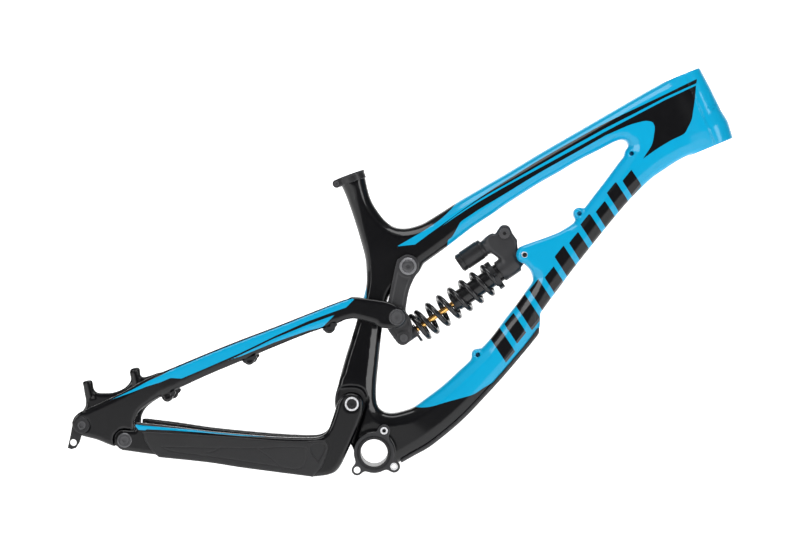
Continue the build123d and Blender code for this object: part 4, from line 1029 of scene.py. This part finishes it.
def front_livery(shader):
    """Blue but for the dark panels, which the pinstripe crosses; a grey shade beside each bar."""
    dark = shader.inside(shader.stored("dark"))
    sides = shader.math("MAXIMUM", shader.stored("stripe_over"), shader.stored("stripe_under"))
    line = shader.inside(shader.math("MAXIMUM", sides, shader.stored("stripe_end")))
    blue = shader.math("MAXIMUM", shader.math("SUBTRACT", 1.0, dark), line)
    grey = shader.math("MULTIPLY", shader.inside(shader.stored("shade")), blue)
    return blue, grey


def rear_livery(shader):
    """Black but for the blue bands."""
    return shader.inside(shader.stored("blue")), None


def satin(name, colour, accent, roughness, metallic=0.0, scale=60.0):
    """Anodised or moulded finish with mottling, fine scuffs and a slight grain."""
    shader = Shader(name)
    patches = shader.noise(scale, 4.0)
    shader.feed("Base Color", shader.mix(patches, colour, accent))
    scuffs = shader.noise(scale * 9, 5.0)
    shader.feed("Roughness", shader.between(scuffs, roughness - 0.06, roughness + 0.08))
    shader.set(Metallic=metallic, Specular_IOR_Level=0.35)
    shader.bump(scuffs, 0.08, 0.0002)
    return shader.material


def rubber():
    """Moulded guard: matt charcoal with a fine pebble."""
    shader = Shader("guard_rubber")
    pebble = shader.texture("ShaderNodeTexVoronoi", "Distance", {"Scale": 900.0})
    dust = shader.noise(30.0, 5.0)
    shader.feed("Base Color", shader.mix(dust, RUBBER, RUBBER_DUST))
    shader.feed("Roughness", shader.between(dust, 0.48, 0.62))
    shader.set(IOR=1.5, Specular_IOR_Level=0.3)
    shader.bump(pebble, 0.12, 0.0003)
    return shader.material


# ---- Stage -------------------------------------------------------

VIEW_X, VIEW_Z, VIEW_DISTANCE = 0.0391, 0.2724, 5.640
LENS, SENSOR = 167.0, 36.0
FLOOR_Z = -0.32
BACKDROP, CURVE, STAGE_HALF = 12.0, 1.6, 14.0


def stage():
    """Pale floor that curves up into a backdrop."""
    profile = [(-STAGE_HALF, 0.0), (BACKDROP, 0.0)]
    for a in np.linspace(0.1, math.pi / 2, 14):
        profile.append((BACKDROP + CURVE * math.sin(a), CURVE - CURVE * math.cos(a)))
    profile.append((BACKDROP + CURVE, 9.0))
    mesh = bpy.data.meshes.new("studio_floor")
    points = [(x, y, FLOOR_Z + z) for y, z in profile for x in (-STAGE_HALF, STAGE_HALF)]
    faces = [(2 * i, 2 * i + 1, 2 * i + 3, 2 * i + 2) for i in range(len(profile) - 1)]
    mesh.from_pydata(points, [], faces)
    mesh.shade_smooth()
    floor = bpy.data.objects.new("studio_floor", mesh)
    bpy.context.scene.collection.objects.link(floor)
    shader = Shader("pale_paper")
    shader.feed("Base Color", shader.mix(shader.noise(3.0), (0.88, 0.88, 0.88), (0.9, 0.9, 0.9)))
    shader.set(Roughness=0.9, Emission_Color=(1, 1, 1, 1), Emission_Strength=0.95)
    mesh.materials.append(shader.material)


def softbox(name, place, target, width, height, power):
    light = bpy.data.lights.new(name, "AREA")
    light.shape = "RECTANGLE"
    light.size = width
    light.size_y = height
    light.energy = power
    lamp = bpy.data.objects.new(name, light)
    lamp.location = place
    lamp.rotation_euler = (Vector(target) - Vector(place)).to_track_quat("-Z", "Y").to_euler()
    bpy.context.scene.collection.objects.link(lamp)
    return lamp


def studio():
    """Soft light, a white surround and the camera, at the far end of a long lens."""
    stage()
    bpy.context.scene.view_settings.view_transform = "Standard"
    middle = (0.03, 0.0, 0.27)
    softbox("overhead", (0.1, -0.7, 2.7), middle, 2.6, 1.2, 55)
    softbox("front_left", (-2.9, -2.9, 1.3), middle, 1.3, 2.4, 72)
    softbox("front_right", (3.1, -2.7, 0.9), middle, 1.3, 2.4, 60)
    softbox("back", (0.0, 2.6, 2.4), middle, 2.4, 1.0, 30)
    world = bpy.data.worlds.new("studio")
    world.use_nodes = True
    world.node_tree.nodes["Background"].inputs["Color"].default_value = (1, 1, 1, 1)
    world.node_tree.nodes["Background"].inputs["Strength"].default_value = 0.12
    bpy.context.scene.world = world
    camera = bpy.data.cameras.new("camera")
    camera.lens = LENS
    camera.sensor_width = SENSOR
    eye = bpy.data.objects.new("camera", camera)
    eye.location = (VIEW_X, -VIEW_DISTANCE, VIEW_Z)
    eye.rotation_euler = (math.pi / 2, 0, 0)
    bpy.context.scene.collection.objects.link(eye)
    bpy.context.scene.camera = eye


# ---- The frame ---------------------------------------------------

studio()
front_paint = paint("front_paint", front_livery)
rear_paint = paint("rear_paint", rear_livery)
guard_rubber = rubber()
black_alloy = satin("black_alloy", (0.016, 0.016, 0.017), (0.024, 0.024, 0.026), 0.34, 0.4)
forged = satin("forged_alloy", (0.022, 0.022, 0.024), (0.034, 0.034, 0.036), 0.42, 0.3)
dark_grey = satin("dark_grey_alloy", (0.07, 0.07, 0.074), (0.11, 0.11, 0.115), 0.35, 0.8)
silver = satin("silver_alloy", (0.60, 0.60, 0.62), (0.64, 0.64, 0.655), 0.26, 0.45)
mid_grey = satin("mid_grey_alloy", (0.17, 0.17, 0.18), (0.22, 0.22, 0.23), 0.3, 0.5)
steel = satin("bearing_steel", (0.45, 0.45, 0.46), (0.58, 0.58, 0.6), 0.22, 1.0)
gold = satin("gold_shaft", (0.72, 0.38, 0.10), (0.80, 0.45, 0.14), 0.2, 1.0)
spring_coat = satin("spring_coat", (0.008, 0.008, 0.009), (0.014, 0.014, 0.015), 0.16, 0.0)
blue_screw = satin("blue_screw", BLUE, BLUE_DEEP, 0.3)
CARRIED = (
    (dark_grey, ("seat_clamp_bolt", "lower_shock_bolts", "compression_dial", "rebound_dial")),
    (silver, ("chain_guide_inserts",)),
    (blue_screw, ("cable_clamp_screws",)),
    (steel, ("main_pivot_bearings", "rocker_pivot_bearings", "rear_pivot_bearings", "link_bearings",
             "upper_eye_bushing", "piston", "lower_eye_bushing")),
    (black_alloy, ("bb_sleeve", "derailleur_hanger", "axle_nut", "hose_clips", "seal_head",
                   "reservoir_cap", "spring_perch", "preload_collar")),
    (spring_coat, ("damper_tube",)),
    (gold, ("damper_shaft",)),
    (guard_rubber, ("bump_stop",)),
    (forged, ("lower_eyelet",)),
)
for material, nodes in CARRIED:
    for node in nodes:
        for slot in frame["nodes"][node].material_slots:
            slot.material = material

METALS = {"mid": mid_grey, "silver": silver, "grey": dark_grey, "black": black_alloy}
SLOT_OF = {"mid": "grey_alloy", "silver": "silver_alloy", "grey": "grey_alloy", "black": "black_alloy"}
BOLTS = (
    ("main_pivot_ring", MAIN, "chainstay_arms", "silver",
     [(-48.4, 7.7), (-48.9, 8.1), (-48.9, 10.1), (-48.2, 10.6), (-44, 10.6), (-44, 7.7),
      (-48.4, 7.7)], None, "main_pivot_axle"),
    ("main_pivot_bolt", MAIN, "chainstay_arms", "black",
     [(-46.6, 4.2), (-46.6, 7.2), (-45.9, 7.6), (0, 7.6)], (3.4, 3.0), "main_pivot_axle"),
    ("rocker_ring", ROCKER, "rocker", "mid",
     [(-31.6, 9.3), (-32.1, 9.8), (-32.1, 12.2), (-31.4, 13.0), (-30.0, 13.0), (-30.0, 9.3),
      (-31.6, 9.3)], None, "rocker_pivot_washers"),
    ("rocker_bolt", ROCKER, "rocker", "grey",
     [(-32.4, 3.6), (-32.6, 4.6), (-32.2, 8.0), (-31.4, 9.1), (0, 9.1)], (2.9, 2.6), "rocker_pivot_axle"),
    ("link_bolt", LINK, "seatstay_arms", "grey",
     [(-45.4, 3.8), (-45.4, 8.6), (-45.0, 9.0), (-45.0, 9.8), (-45.6, 10.2), (-45.6, 11.6), (-44.8, 12.3),
      (-44.2, 12.3), (-44.2, 9.4), (-33.4, 9.4)], (3.0, 2.4), "seatstay_pivot_bolts"),
    ("shock_bolt_ring", SHOCK_TOP, "front_triangle", "silver",
     [(-25.6, 3.6), (-26.0, 4.0), (-26.0, 5.6), (-25.3, 6.5), (-24, 6.5), (-24, 3.6),
      (-25.6, 3.6)], None, "upper_shock_bolt"),
    ("shock_bolt", SHOCK_TOP, "front_triangle", "black",
     [(-25.0, 2.6), (-25.0, 3.5), (0, 3.5)], (2.3, 1.8), "upper_shock_bolt"),
    ("rear_pivot_bolt", REAR, "chainstay_arms", "grey",
     [(-86.9, 3.8), (-86.9, 6.4), (-86.3, 6.9), (-86.3, 7.9), (-87.2, 8.5), (-87.2, 9.6), (-86.2, 11.0),
      (-85.0, 11.0), (-85.0, 5.9), (-77, 5.9)], (3.2, 2.6), "rear_pivot_bolts"),
    ("axle_end", AXLE, "seatstay_arms", "grey",
     [(-90.2, 4.6), (-90.2, 7.6), (-89.6, 8.2), (-89.6, 9.0), (-90.2, 9.6), (-90.2, 10.8), (-89.4, 11.8),
      (-88.4, 11.8), (-88.4, 6.0), (0, 6.0)], (4.0, 4.0), "rear_axle"),
)

shell, shell_field, shell_grid = front_shell()
paint_front(shell)
finish_piece(shell, "front_triangle", "blue_shell", front_paint,
             "head_tube", "top_tube", "down_tube", "seat_tube", "pivot_housing")
finish_piece(tube_guard(shell_field, shell_grid), "front_triangle", "guard_rubber", guard_rubber,
             "down_tube_guard")
chainstay = chainstay_body()
paint_rear(chainstay, CHAINSTAY_PLAN, CHAINSTAY_SIDE, CHAINSTAY_RIM, CHAINSTAY_BAND)
finish_piece(chainstay, "chainstay_arms", "black_shell", rear_paint, "chainstay")
finish_piece(stay_guard(), "chainstay_arms", "guard_rubber", guard_rubber, "chainstay_guard")
seatstay = seatstay_body()
paint_rear(seatstay, SEATSTAY_PLAN, SEATSTAY_SIDE, SEATSTAY_RIM, SEATSTAY_BAND,
           SEATSTAY_SLIVER)
finish_piece(seatstay, "seatstay_arms", "black_shell", rear_paint, "seatstay")
finish_piece(rocker_body(), "rocker", "black_alloy", forged, "rocker_link")
finish_piece(head_casting(), "shock_body", "black_alloy", forged, "shock_head")
finish_piece(reservoir_can(), "shock_body", "black_alloy", black_alloy, "reservoir", "reservoir_cap")
spring = coil()
finish_piece(spring, "shock_body", "spring_wire", spring_coat, "coil_spring")
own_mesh(spring)

finish_piece(guide_plate(), "front_triangle", "black_alloy", forged, "chain_guide_plate")
finish_piece(collar(), "front_triangle", "black_alloy", black_alloy, "seat_clamp_collar")
for bolt in BOLTS:
    for side in (1, -1):
        name, at, body, metal, profile, socket, node = bolt
        if side < 0:
            profile = [(-y, radius) for y, radius in profile]
        end = "right" if side > 0 else "left"
        bolt_end = spindle(f"{name}_{end}", at, profile, socket)
        finish_piece(bolt_end, body, SLOT_OF[metal], METALS[metal], node)
